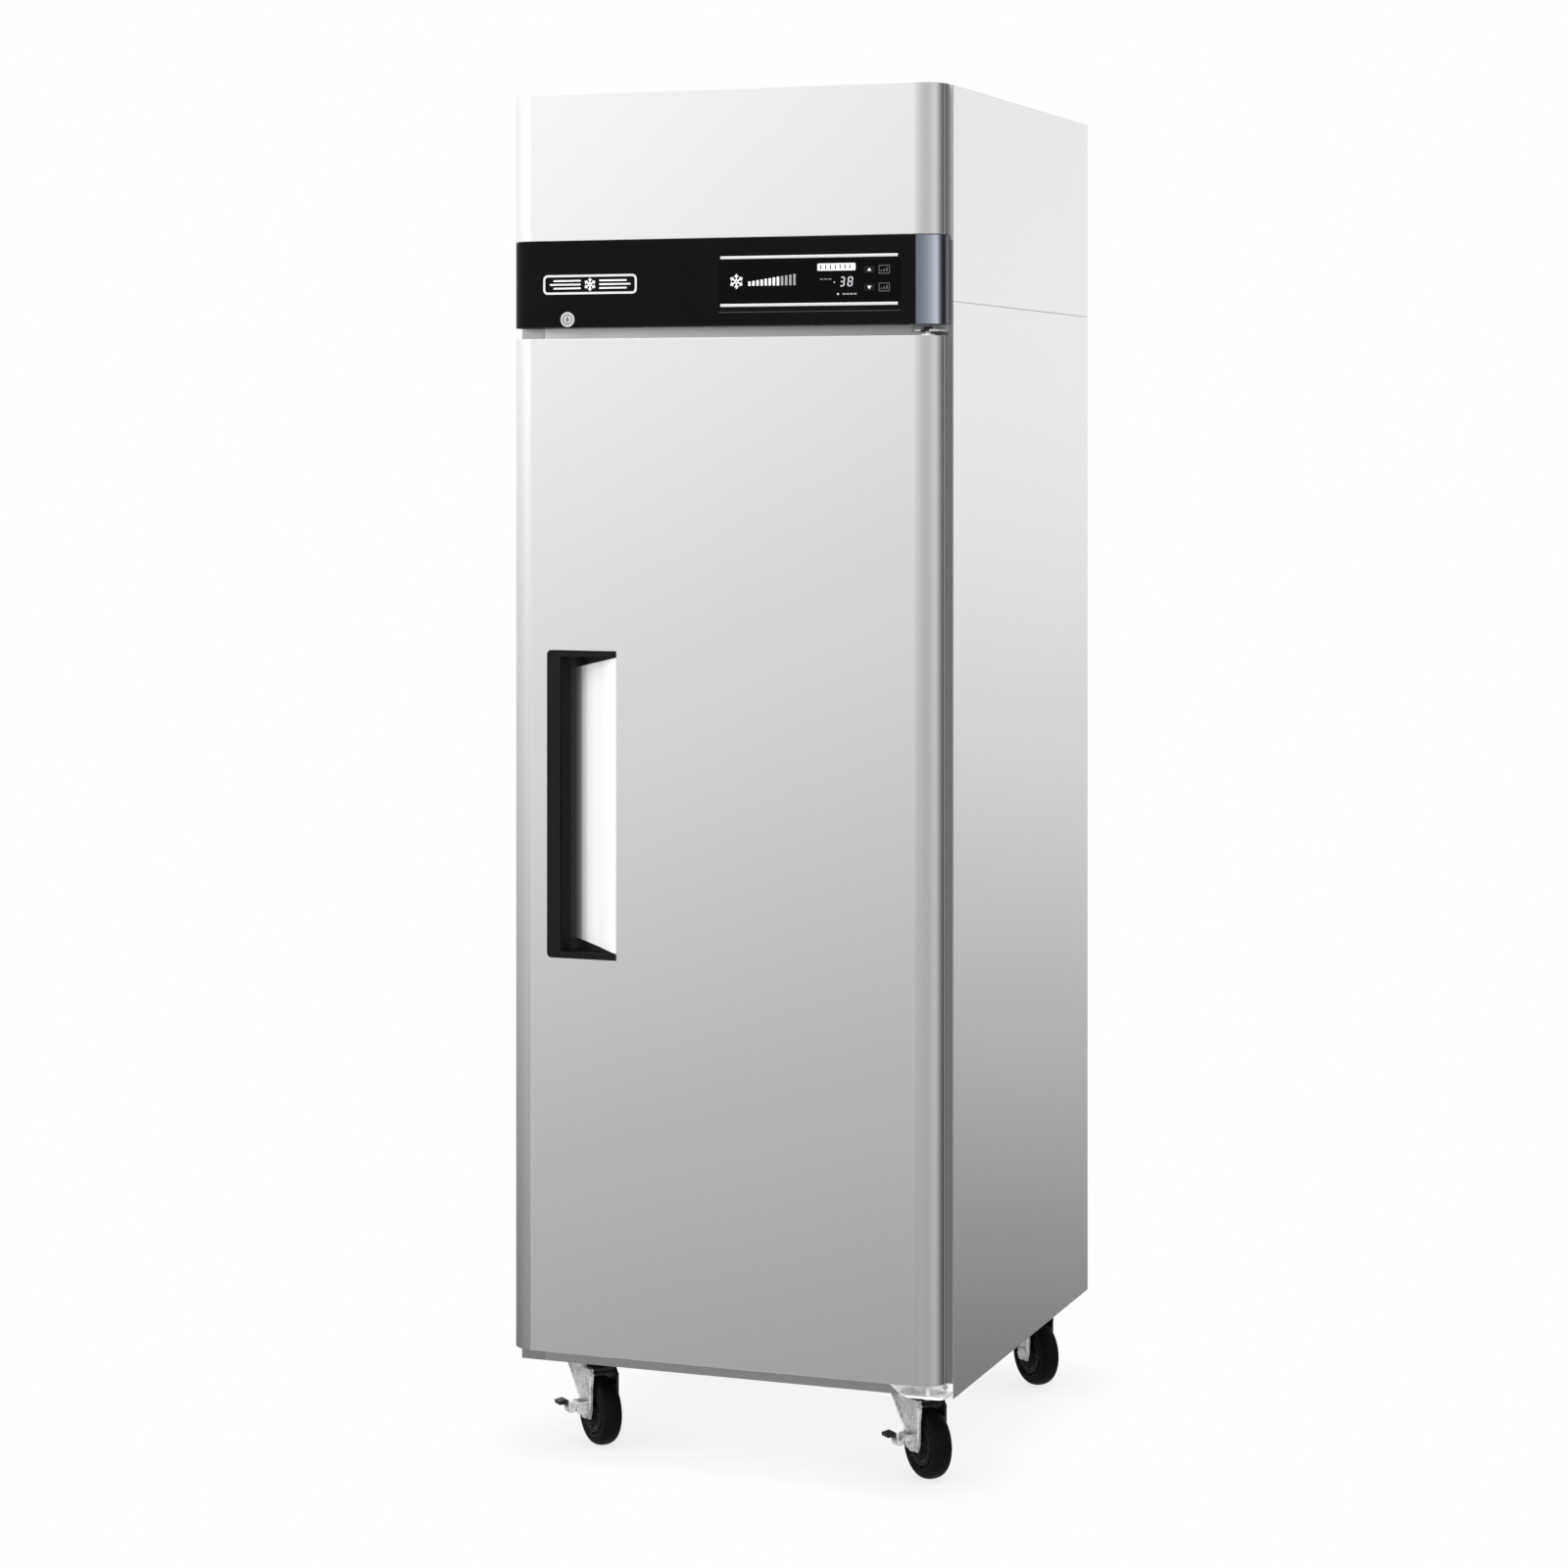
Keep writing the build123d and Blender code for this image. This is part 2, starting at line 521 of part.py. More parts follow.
def control_band():
    band = cut(band_shell(), [box(CAP_X, 400, -410, -330, 1640, 1790)])
    band = cut(band, [
        box(WIN_X0 - GAP, WIN_X1 + GAP, Y_FACE - 1, Y_FACE + 1.6, WIN_Z0 - GAP, WIN_Z1 + GAP),
        box(12, 259, Y_FACE - 1, Y_FACE + 5, 1692, 1736),
        cyl_y(LOCK_X, LOCK_Z, Y_FACE - 3, Y_FACE + 6, 9.1),
        box(LOCK_X - CAM_LEN - 6, LOCK_X + 9, -382, -369, BAND_Z0 - 2, BAND_Z0 + 4),
        box(268, 330, -392, -330, BAND_Z0 - 1, BAND_Z0 + 1.2),
    ])
    tabs = [box(x - 12, x + 12, BAND_BACK - 12, BAND_BACK, BAND_Z0 + 2, BAND_Z0 + 5.5)
            for x in TAB_X]
    return fuse([band] + tabs)


def control_band_end_cap():
    cap = cut(band_shell(), [box(-400, CAP_X + 0.3, -410, -330, 1640, 1790)])
    return cut(cap, [cyl_z(HINGE_X, HINGE_Y, 1640, 1652, 10.0)])


def key_block(z, y0, y1, grow):
    w, h = KEY_HALF_W + grow, KEY_HALF_H + grow
    return fillet_along(box(KEY_X - w, KEY_X + w, y0, y1, z - h, z + h), Axis.Y, 2.5)


def display_window():
    window = box(WIN_X0, WIN_X1, Y_FACE - 0.8, Y_FACE + 1.5, WIN_Z0, WIN_Z1)
    return cut(fillet_along(window, Axis.Y, 3.0),
               [key_block(z, Y_FACE - 2, Y_FACE + 4, GAP) for z in (KEY_UP_Z, KEY_DOWN_Z)])


def key(z):
    return fuse([key_block(z, Y_FACE - 1.4, Y_FACE + 2.6, 0.0),
                 cyl_y(KEY_X, z, Y_FACE + 2.4, Y_FACE + 5.0, 2.0)])


def display_trims():
    trims = []
    for z0, z1 in ((1745.4, 1750.0), (1677.0, 1681.6)):
        t = box(2.1, 268.7, Y_TOUCH, Y_FACE, z0, z1)
        front_edges = edges_at(t, Axis.X, y=Y_TOUCH, z=z0) + edges_at(t, Axis.X, y=Y_TOUCH, z=z1)
        trims.append(fillet(front_edges, 1.2))
    return trims


def lock_housing():
    housing = fuse([cyl_y(LOCK_X, LOCK_Z, Y_TOUCH, Y_FACE, 11.0),
                    cyl_y(LOCK_X, LOCK_Z, Y_FACE - 0.5, -382.0, 9.0)])
    housing = fuse([housing, box(LOCK_X - 14, LOCK_X + 14, -395.8, -394.0,
                                 LOCK_Z - 8.5, LOCK_Z + 13)])
    return cut(housing, [cyl_y(LOCK_X, LOCK_Z, Y_TOUCH - 1, -380, LOCK_R + RUN)])


def lock_plug():
    """Plug with its cam towards -X and a key slot in its front."""
    plug = fuse([cyl_y(LOCK_X, LOCK_Z, Y_TOUCH + 0.4, -376.0, LOCK_R),
                 box(LOCK_X - CAM_LEN, LOCK_X, -380.0, -376.5, LOCK_Z - 7.0, LOCK_Z + 7.0),
                 cyl_y(LOCK_X, LOCK_Z, -380.0, -376.5, 7.4)])
    return cut(plug, [box(LOCK_X - 0.7, LOCK_X + 0.7, Y_TOUCH - 1, -393.0,
                          LOCK_Z - 4.2, LOCK_Z + 4.2)])


def electrical_boxes():
    """Controller behind the display, and a ribbed box with a gland on the deck."""
    controller = fillet_along(box(30, 245, Y_FACE + 6.2, -362.0, 1690, 1738), Axis.Y, 3)
    deck_box = fuse([box(120, 292, -305, -215, DECK_Z + GAP, 1752),
                     box(112, 300, -300, -220, DECK_Z + GAP, DECK_Z + 2.0)])
    ribs = [box(140 + i * 22, 150 + i * 22, -307, -305, 1690, 1740) for i in range(6)]
    gland = cyl_x(-260, 1700, 292, 302, 9)
    return [controller, fuse([fuse([deck_box] + ribs), gland])]


# ----------------------------------------------------------- condensing unit
def condenser_coil():
    core = box(COIL_X0, COIL_X1, COIL_Y0, COIL_Y1, COIL_Z0, COIL_Z1)
    count, margin = 56, 3.0
    grooves = []
    for i in range(count):
        x = COIL_X0 + margin + i * (COIL_X1 - COIL_X0 - 2 * margin) / (count - 1)
        grooves.append(box(x - 1.5, x + 1.5, COIL_Y0 - 1, COIL_Y0 + 7, COIL_Z0 + 8, COIL_Z1 - 8))
    core = cut(core, grooves)
    ends = [box(x, x + END_T, COIL_Y0 - 3, COIL_Y1 + 3, COIL_Z0 - 17.7, COIL_Z1 + 6)
            for x in (COIL_X0 - END_T, COIL_X1)]
    # the bends on the +X end sit half a pitch higher
    pitch, rise = 31, 13
    bends = []
    for i in range(9):
        z_left = COIL_Z0 + 22 + i * pitch
        for side, x, z in ((-1, COIL_X0 - END_T, z_left), (1, COIL_X1 + END_T, z_left + pitch / 2)):
            if z + rise <= COIL_Z1:
                bends.append(u_bend(x, side, COIL_MID_Y, z, 11, rise, 4.5))
    return fuse([core] + ends + bends)


def condenser_shroud():
    """Box behind the coil with a round mouth, a lip ring and a wire guard."""
    outer = box(COIL_X0, COIL_X1, COIL_Y1 + GAP, -212.0, COIL_Z0, COIL_Z1)
    wall = 1.2
    inner = box(COIL_X0 + wall, COIL_X1 - wall, COIL_Y1 - 1, -213.2,
                COIL_Z0 + wall, COIL_Z1 - wall)
    shroud = cut(outer, [inner, cyl_y(*COND_FAN, -225, -200, 112.0)])
    lip_ring = cut(cyl_y(*COND_FAN, -213.2, -200.0, 115.0),
                   [cyl_y(*COND_FAN, -214, -199, 113.0)])
    y = -203.0
    guard = [wire_ring(COND_FAN, y, r, 1.3) for r in (38.0, 62.0, 86.0, 108.0)]
    guard += [rod(polar(COND_FAN, 32, a, y), polar(COND_FAN, 114, a, y), 1.6)
              for a in (45, 135, 225, 315)]
    return fuse([shroud, lip_ring] + guard)


def fan(centre, hub_y0, hub_y1, hub_r, tip_r, chord, tilt, bore_r):
    """Hub with five flat tilted blades, trimmed to the tip circle and bored."""
    blades = 5
    y_mid = (hub_y0 + hub_y1) / 2
    items = [cyl_y(*centre, hub_y0, hub_y1, hub_r)]
    for k in range(blades):
        blade = Box(tip_r - hub_r + 2.0, 1.6, chord)
        blade = Pos((tip_r + hub_r) / 2 - 1.0, 0, 0) * Rot(tilt, 0, 0) * blade
        items.append(Pos(centre[0], y_mid, centre[1]) * Rot(0, 360.0 / blades * k, 0) * blade)
    envelope = cyl_y(*centre, y_mid - 60, y_mid + 60, tip_r)
    trimmed = biggest(fuse(items).intersect(envelope))
    return biggest(cut(trimmed, [cyl_y(*centre, hub_y0 - 4, hub_y1 + 4, bore_r)]))


def condenser_fan_blade():
    return fan(COND_FAN, hub_y0=-246.0, hub_y1=-222.0, hub_r=24.0, tip_r=104.0,
               chord=38.0, tilt=32.0, bore_r=COND_SHAFT_R + RUN)


def condenser_fan_motor():
    motor = fuse([cyl_y(*COND_FAN, -219.0, -160.0, 30.0),
                  cyl_y(*COND_FAN, -249.0, -219.0, COND_SHAFT_R),
                  cyl_y(*COND_FAN, -160.0, -152.0, 12.0)])
    legs = [pipe([polar(COND_FAN, 26, a, -190.0), polar(COND_FAN, 121, a, -190.0),
                  polar(COND_FAN, 121, a, -211.9)], 3.0) for a in (45, 135, 225, 315)]
    return fuse([motor] + legs)


def compressor():
    x, y, z = COMP_X, COMP_Y, DECK_Z
    body = Pos(x, y, z + 22) * extrude(Ellipse(92, 74), 122)
    body = fillet(body.edges(), 34)
    seam = Pos(x, y, z + 80) * extrude(Ellipse(95, 77), 6)
    terminal_box = fillet_along(box(x - 128, x - 80, y - 30, y + 30, z + 46, z + 112), Axis.Z, 5)
    base = [box(x - 104, x + 104, y - 74, y - 50, z + 14, z + 18),
            box(x - 104, x + 104, y + 50, y + 74, z + 14, z + 18),
            box(x - 60, x + 60, y - 74, y + 74, z + 14, z + 26)]
    feet = [cyl_z(x + dx, y + dy, z, z + 14, 10.0) for dx in (-92, 92) for dy in (-62, 62)]
    stubs = [cyl_z(*THICK_STUB, z + 130, z + 168, 6.0), cyl_z(*THIN_STUB, z + 120, z + 160, 5.0)]
    return fuse([body, seam, terminal_box] + base + feet + stubs)


def refrigerant_lines():
    thin_x, thick_x = LINE_X
    # the thin stub to the upper +X side of the condenser coil
    to_coil = pipe([(*THIN_STUB, DECK_Z + 160.1), (*THIN_STUB, 1872), (THIN_STUB[0], -200, 1872),
                    (86, -200, 1872), (86, COIL_MID_Y, 1872), (86, COIL_MID_Y, 1944),
                    (57.0, COIL_MID_Y, 1944)], 4.0)
    # the thick stub down to the evaporator
    thick = pipe([(*THICK_STUB, DECK_Z + 168.1), (*THICK_STUB, 1866), (-40, THICK_STUB[1], 1866),
                  (-40, LINE_Y, 1800), (thick_x, LINE_Y, 1800), (thick_x, LINE_Y, 1528),
                  (thick_x, 203.8, 1528)], 6.0)
    # the lower -X side of the coil to the canister
    can_x, can_z = -262, 1700
    from_coil = pipe([(-251.0, COIL_MID_Y, 1676), (can_x, COIL_MID_Y, 1676), (can_x, -120, 1676),
                      (can_x, -110, can_z), (can_x, -100, can_z)], 4.0)
    canister = fuse([cyl_y(can_x, can_z, -100, 20, 12.0), cyl_y(can_x, can_z, -112, -100, 7.0),
                     cyl_y(can_x, can_z, 20, 34, 6.0)])
    # the canister down to the evaporator
    thin = pipe([(can_x, 34, can_z), (can_x, 100, can_z), (thin_x, LINE_Y, can_z),
                 (thin_x, LINE_Y, 1560), (thin_x, 215, 1560), (-200, 240, 1560),
                 (-200, 240, 1540.2)], 2.5)
    return [to_coil, thick, from_coil, canister, thin]


def condensate_tray():
    tray = cut(box(-130, 60, 250, 370, DECK_Z + GAP, 1700),
               [box(-128.5, 58.5, 251.5, 368.5, DECK_Z + 1.6, 1701)])
    rim = cut(box(-136, 66, 244, 376, 1698.5, 1700),
              [box(-128.5, 58.5, 251.5, 368.5, 1690, 1701)])
    coil = pipe([(-110, 270, 1664), (40, 270, 1664), (40, 300, 1664),
                 (-110, 300, 1664), (-110, 330, 1664), (40, 330, 1664)], 4.5)
    return [fuse([tray, rim]), coil]


def power_cord():
    """Cord coiled on the deck behind the compressor, and its two-blade plug."""
    cord = pipe([(302.0, -260, 1700), (314, -260, 1700), (314, -260, 1662), (314, 250, 1662),
                 (290, 330, 1662), (250, 356, 1662), (180, 356, 1662), (160, 330, 1662),
                 (170, 300, 1662), (230, 290, 1662), (262, 312, 1672), (250, 338, 1672),
                 (200, 340, 1672)], 4.5)
    plug = fillet_along(box(158, 200.5, 326, 354, 1660, 1686), Axis.Z, 5)
    blades = [box(140, 158.5, y, y + 2, 1669, 1677) for y in (333, 345)]
    cord = biggest(cut(cord, [box(150, 200.6, 322, 358, 1667.0, 1690)]))
    plug = cut(plug, [cord])
    return [cord, fuse([biggest(plug)] + blades)]


# -------------------------------------------------------- evaporator section
def evaporator_cover():
    """Box open at the top and back, with a fan guard in front and slots below."""
    wall = 1.2
    y0, z0 = EVAP_Y0, EVAP_Z0
    y1 = LINER_Y1 - 0.2
    outer = box(-EVAP_X, EVAP_X, y0, y1, z0, LINER_Z1 - 0.2)
    inner = box(-EVAP_X + wall, EVAP_X - wall, y0 + wall, y1 + 2, z0 + wall, LINER_Z1 + 5)
    slots = [box(x - 28, x + 28, y0 + 60 + j * 14, y0 + 66 + j * 14, z0 - 1, z0 + 3)
             for x in (-150, -75, 0, 75, 150) for j in range(15)]
    cover = cut(outer, [inner])
    cover = cut(cover, [cyl_y(*EVAP_FAN, y0 - 3, y0 + 4, 76.0)] + slots)
    guard_y = y0 - 1.6
    angles = (30, 90, 150, 210, 270, 330)
    guard = [wire_ring(EVAP_FAN, guard_y, r, 1.2) for r in (18.0, 32.0, 46.0, 60.0, 74.0)]
    guard += [rod(polar(EVAP_FAN, 17, a, guard_y), polar(EVAP_FAN, 82, a, guard_y), 1.4)
              for a in angles]
    for a in angles:
        x, _, z = polar(EVAP_FAN, 82, a, guard_y)
        guard.append(cyl_y(x, z, y0 - 2.6, y0 + 0.6, 3.0))
    return fuse([cover] + guard)


def evaporator_fan_blade():
    return fan(EVAP_FAN, hub_y0=28.0, hub_y1=46.0, hub_r=15.0, tip_r=70.0,
               chord=26.0, tilt=30.0, bore_r=EVAP_SHAFT_R + RUN)


def evaporator_fan_motor():
    """Motor and shaft on a U-shaped strap fixed inside the cover front."""
    z0, z1 = EVAP_FAN[1] - 9, EVAP_FAN[1] + 9
    return fuse([cyl_y(*EVAP_FAN, 49.0, 96.0, 24.0),
                 cyl_y(*EVAP_FAN, 26.0, 49.0, EVAP_SHAFT_R),
                 box(-92, 92, 70, 74, z0, z1),
                 box(-92, -88, EVAP_Y0 + 1.3, 74, z0, z1),
                 box(88, 92, EVAP_Y0 + 1.3, 74, z0, z1)])


def evaporator_coil():
    half = EVAP_COIL_X
    core = box(-half, half, 205, 300, 1440, 1540)
    grooves = []
    for i in range(50):
        x = -half + 6 + i * 8.04
        grooves.append(box(x - 2.2, x + 2.2, 204, 216, 1446, 1541))
    core = cut(core, grooves)
    outer = half + 2
    top = LINER_Z1 - 0.4
    ends = [cut(box(-outer, -half, 200, 305, 1434, top), [box(-208, -204, 220, 240, 1554, 1566)]),
            box(half, outer, 200, 305, 1434, top)]
    bends = [u_bend(side * outer, side, y, 1456 + i * 32, 10, 16, 4.0)
             for i in range(3) for y in (225, 255, 285) for side in (-1, 1)]
    return fuse([core] + ends + bends)


def interior_lamp():
    return fuse([fillet_along(box(-70, 70, -255, -195, 1577, LINER_Z1 - 0.2), Axis.Z, 6),
                 fillet_along(box(-60, 60, -247, -203, 1566, 1578), Axis.Z, 10)])


# -------------------------------------------------------------------- shelves
def shelf_pilasters():
    """Four slotted channels, open towards the liner walls."""
    x0, x1 = PILASTER_X, LINER_X - GAP
    pilasters = []
    for y in PILASTER_Y:
        p = cut(box(x0, x1, y - 13, y + 13, 236, 1396),
                [box(x0 + 1.5, x1 + 1, y - 11.5, y + 11.5, 235, 1397)])
        p = cut(p, [box(x0 - 1, x0 + 2, y - 8, y + 8, z, z + 7)
                    for z in range(250, 250 + 20 * 57, 20)])
        pilasters += pair(p)
    return pilasters


def shelf_clips():
    """Ledge, back plate, gusset and inner lip, at each pilaster and shelf."""
    x = PILASTER_X - GAP
    clips = []
    for y in PILASTER_Y:
        for z in SHELF_Z:
            gusset = Polyline((252, z - 12), (x, z - 26), (x, z - 12), (252, z - 12))
            clips += pair(fuse([
                box(250, x, y - 9, y + 9, z - 12, z - 7.55),
                box(PILASTER_X - 3.5, x, y - 9, y + 9, z - 26, z + 4),
                extrude(Plane.XZ.offset(-y) * make_face(gusset), 1.5, both=True),
                box(250, 252, y - 9, y + 9, z - 12, z - 5),
            ]))
    return clips


def shelf():
    """Wire shelf whose top wires are centred on z = 0."""
    x1, y1, rim_z, rim_r = SHELF_X, SHELF_Y, -4, 3.5
    items = [cyl_x(y, rim_z, -x1, x1, rim_r) for y in (-y1, y1)]
    items += [cyl_y(x, rim_z, -y1, y1, rim_r) for x in (-x1, x1)]
    items += [Pos(x, y, rim_z) * Sphere(rim_r) for x in (-x1, x1) for y in (-y1, y1)]
    items += [cyl_x(y, -4.6, -x1, x1, 2.8) for y in (-150, 0, 150)]
    count, margin = 24, 18
    for i in range(count):
        x = -x1 + margin + i * (2 * x1 - 2 * margin) / (count - 1)
        items.append(cyl_y(x, 0.0, -y1, y1, 1.9))
        # weld blocks join the wire to the rim
        items += [Pos(x, y, -1.6) * Box(3.0, 4.0, 4.0) for y in (-y1, y1)]
    return fuse(items)


# ----------------------------------------------------------------- casters
# tag, x, y, has a brake
CASTERS = (
    ("front_left", -CASTER_X, CASTER_Y_FRONT, True),
    ("front_right", CASTER_X, CASTER_Y_FRONT, True),
    ("rear_left", -CASTER_X, CASTER_Y_REAR, False),
    ("rear_right", CASTER_X, CASTER_Y_REAR, False),
)


def caster_plate(x, y):
    """Mounting plate with its cup, flanged kingpin and four hexagonal bolt heads."""
    bolts_at = [(x + sx * 36, y + sy * 24) for sx in (-1, 1) for sy in (-1, 1)]
    plate = fillet_along(box(x - 46, x + 46, y - 34, y + 34, 123.8, Z_BASE), Axis.Z, 6)
    plate = cut(plate, [cyl_z(*at, 120, 130, 4.5) for at in bolts_at])
    cup = fuse([cyl_z(x, y, 118.6, 124, 31.0), cyl_z(x, y, 104.0, 119, KING_R)])
    cup = fuse([cup, cyl_z(x, y, 103.0, 105.6, 9.0)])
    bolts = [Pos(*at, 119.8) * extrude(RegularPolygon(6.5, 6), 4.0) for at in bolts_at]
    return fuse([plate, cup] + bolts)


def caster_plates():
    return [caster_plate(x, y) for _, x, y, _ in CASTERS]


def brake_bar(reach, r):
    """Cylinder on the brake pivot axis, reaching both ways from the wheel axle."""
    return rod((BRAKE_X, -TRAIL - reach, BRAKE_Z), (BRAKE_X, -TRAIL + reach, BRAKE_Z), r)


def caster_fork(with_brake):
    king_hole = cyl_z(0, 0, 100, 120, KING_R + RUN)
    crown = cut(fuse([cyl_z(0, 0, 112.0, 118.3, 30.0), cyl_z(0, 0, 106.0, 113.0, 25.0)]),
                [king_hole])
    # leg outline, columns y, z
    leg_outline = (
        (29, 114), (-49, 114), (-57, 104), (-54, 84),
        (-TRAIL - 13, WHEEL_R + 2), (-TRAIL - 8, WHEEL_R - 10.5),
        (-TRAIL + 8, WHEEL_R - 10.5), (-TRAIL + 13, WHEEL_R + 2),
        (17, 100), (29, 114),
    )
    legs = []
    for s in (-1, 1):
        profile = make_face(Polyline(*leg_outline))
        legs.append(extrude(Plane.YZ.offset(min(s * 19.0, s * 22.0)) * profile, 3.0))
        # raised beads along the two edges of the leg
        for y_top, z_top, y_low in ((26, 111.5, -TRAIL + 12), (-52, 105.5, -TRAIL - 12)):
            legs.append(rod((s * 22.0, y_top, z_top), (s * 22.0, y_low, WHEEL_R + 4), 2.2))
    bridge = cut(box(-22, 22, -49, 29, 110.5, 114), [king_hole])
    axle = [cyl_x(-TRAIL, WHEEL_R, -29, 29, AXLE_R)]
    axle += [Plane.YZ.offset(x) * Pos(-TRAIL, WHEEL_R) * extrude(RegularPolygon(10, 6), 6.0)
             for x in (22.0, -28.0)]
    # thread guard closes the gap between the bridge and the top of the wheel
    guard = box(-20, 20, -52, -12, 104.2, 111)
    guard = chamfer(edges_at(guard, Axis.X, y=-52, z=111), 3.5)
    items = [crown, bridge, guard] + legs + axle
    if with_brake:
        # two cheeks on the -X leg carry the pivot of the brake lever
        for y in (-TRAIL - 12.0, -TRAIL + 9.5):
            cheek = box(-43, -21, y, y + 2.5, 50, 68)
            items.append(fillet(edges_at(cheek, Axis.Y, x=-43, z=50)
                                + edges_at(cheek, Axis.Y, x=-43, z=68), 6))
        items.append(brake_bar(15, BRAKE_PIN_R))
    return fuse(items)


def caster_wheel():
    half = WHEEL_W / 2
    # one face of the wheel and half the tread: radius, distance from mid-plane
    side = [(AXLE_R + RUN, half + 2.2), (14.0, half + 2.2), (15.5, half - 0.5),
            (33.0, half - 3.5), (37.0, half - 0.2), (43.0, half - 0.6)]
    shoulder = [(43.0, half - 0.6), (47.4, half - 3.2), (50.0, half - 8.4)]
    near_side = [(r, -y) for r, y in side]
    tread = [(r, -y) for r, y in shoulder] + [(WHEEL_R, 0.0)] + shoulder[::-1]
    far_side = side[::-1] + near_side[:1]
    face = make_face(Wire([*Polyline(*near_side).edges(), Spline(*tread),
                           *Polyline(*far_side).edges()]))
    # revolved about Y, then turned onto X and moved to the axle
    return Pos(0, -TRAIL, WHEEL_R) * Rot(0, 0, 90) * revolve(face, Axis.Y)


def brake_lever():
    hub = cut(brake_bar(9.3, 5.6), [brake_bar(12, BRAKE_PIN_R + RUN)])
    # arm outline, columns x, z
    outline = (
        (-41, 59.6), (-48, 53.5), (-53.0, 53.5), (-57.0, 65.6), (-59.5, 67.4), (-70.0, 67.0),
        (-71.0, 72.0), (-58.5, 74.2), (-53.6, 71.6), (-50.0, 59.4), (-42, 65.6), (-41, 59.6),
    )
    arm = extrude(Plane.XZ.offset(TRAIL) * make_face(Polyline(*outline)), 8.6, both=True)
    return fuse([hub, cut(arm, [brake_bar(12, 5.0)])])


# ------------------------------------------------------------------ screws
HEAD_TURN = {"+y": Rot(-90, 0, 0), "-y": Rot(90, 0, 0), "+z": Rot(0, 0, 0)}


def screw_head(x, y, z, facing, r=4.2, h=2.0):
    """Cross-slotted head standing on the given point."""
    head = Cylinder(r, h)
    head = fillet(head.edges().sort_by(Axis.Z)[-1:], 1.0)
    head = cut(head, [Pos(0, 0, h / 2) * Box(4.4, 1.0, 1.2),
                      Pos(0, 0, h / 2) * Box(1.0, 4.4, 1.2)])
    return Pos(x, y, z) * HEAD_TURN[facing] * Pos(0, 0, h / 2) * head


def panel_screws():
    # rear panels: two columns, then four rows
    rear = [(x, z) for z in (150, 420, 700, 980, 1260, 1540, 1665, 1710, 1850, 1970)
            for x in (-300, 300)]
    rear += [(x, z) for x in (-180, -60, 60, 180) for z in (140, 1670, 1700, 1976)]
    screws = [screw_head(x, Y_BACK, z, "+y") for x, z in rear]
    # bottom hinge bracket
    screws += [screw_head(x, Y_CAB - 3.0, z, "-y", 4.0, 1.6)
               for x, z in ((250, 143.6), (274, 143.9), (322, 143.9))]
    screws.append(screw_head(321, -366, BRACKET_Z1, "+z", 4.2, 1.8))
    # tabs of the control band
    screws += [screw_head(x, BAND_BACK - 6, BAND_Z0 + 5.5, "+z", 3.5, 1.6) for x in TAB_X]
    # foot of the electrical box
    screws += [screw_head(x, y, DECK_Z + 2.0, "+z", 2.8, 1.4)
               for x in (116, 296) for y in (-290, -230)]
    return screws


# ------------------------------------------------------------------- output
for piece in (
        cabinet_side_right, cabinet_side_left, cabinet_rear_panel, cabinet_top_deck, base_pan,
        insulation_foam, inner_liner, breaker_strips, front_frame,
        machine_side_panels, machine_rear_grille,
        hinge_brackets, hinge_pins, hinge_bushings,
        door_skin, handle_pocket, handle_bezel, door_foam, door_liner, door_gasket,
        fascia_panel, control_band, control_band_end_cap, display_window, display_trims,
        lock_housing, lock_plug, electrical_boxes,
        condenser_coil, condenser_shroud, condenser_fan_blade, condenser_fan_motor,
        compressor, refrigerant_lines, condensate_tray, power_cord,
        evaporator_cover, evaporator_fan_blade, evaporator_fan_motor, evaporator_coil,
        interior_lamp, shelf_pilasters, shelf_clips, caster_plates, panel_screws):
    save(piece(), piece.__name__)

save(key(KEY_UP_Z), "key_up")
save(key(KEY_DOWN_Z), "key_down")

wire_shelf = shelf()
for z, level in zip(SHELF_Z, ("lower", "middle", "upper")):
    save(Pos(0, 0, z) * wire_shelf, f"shelf_{level}")

forks = {braked: caster_fork(braked) for braked in (True, False)}
wheel, lever = caster_wheel(), brake_lever()
for tag, x, y, braked in CASTERS:
    at_rest = Pos(x, y, 0) * Rot(0, 0, CASTER_ANGLE)
    save(at_rest * forks[braked], f"caster_fork_{tag}")
    save(at_rest * wheel, f"caster_wheel_{tag}")
    if braked:
        save(at_rest * lever, f"brake_lever_{tag}")
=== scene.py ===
import bpy, bmesh, math, json
from mathutils import Vector, Matrix


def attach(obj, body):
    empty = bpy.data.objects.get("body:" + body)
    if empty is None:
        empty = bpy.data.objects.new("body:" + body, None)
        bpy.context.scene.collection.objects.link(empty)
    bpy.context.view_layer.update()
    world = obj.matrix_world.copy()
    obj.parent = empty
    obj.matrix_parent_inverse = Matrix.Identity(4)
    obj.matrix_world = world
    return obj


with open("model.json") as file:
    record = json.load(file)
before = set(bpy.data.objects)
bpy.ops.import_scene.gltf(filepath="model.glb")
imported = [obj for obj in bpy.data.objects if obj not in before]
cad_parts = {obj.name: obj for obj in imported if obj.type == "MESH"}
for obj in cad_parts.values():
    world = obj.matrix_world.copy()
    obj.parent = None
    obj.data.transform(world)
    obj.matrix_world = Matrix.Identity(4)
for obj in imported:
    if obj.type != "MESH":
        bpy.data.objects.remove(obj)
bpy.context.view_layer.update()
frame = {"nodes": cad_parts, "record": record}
NODES = frame["nodes"]
REC = frame["record"]
SLOT = {}
for s in REC["subparts"]:
    SLOT[s["node"]] = s["material_slot"]

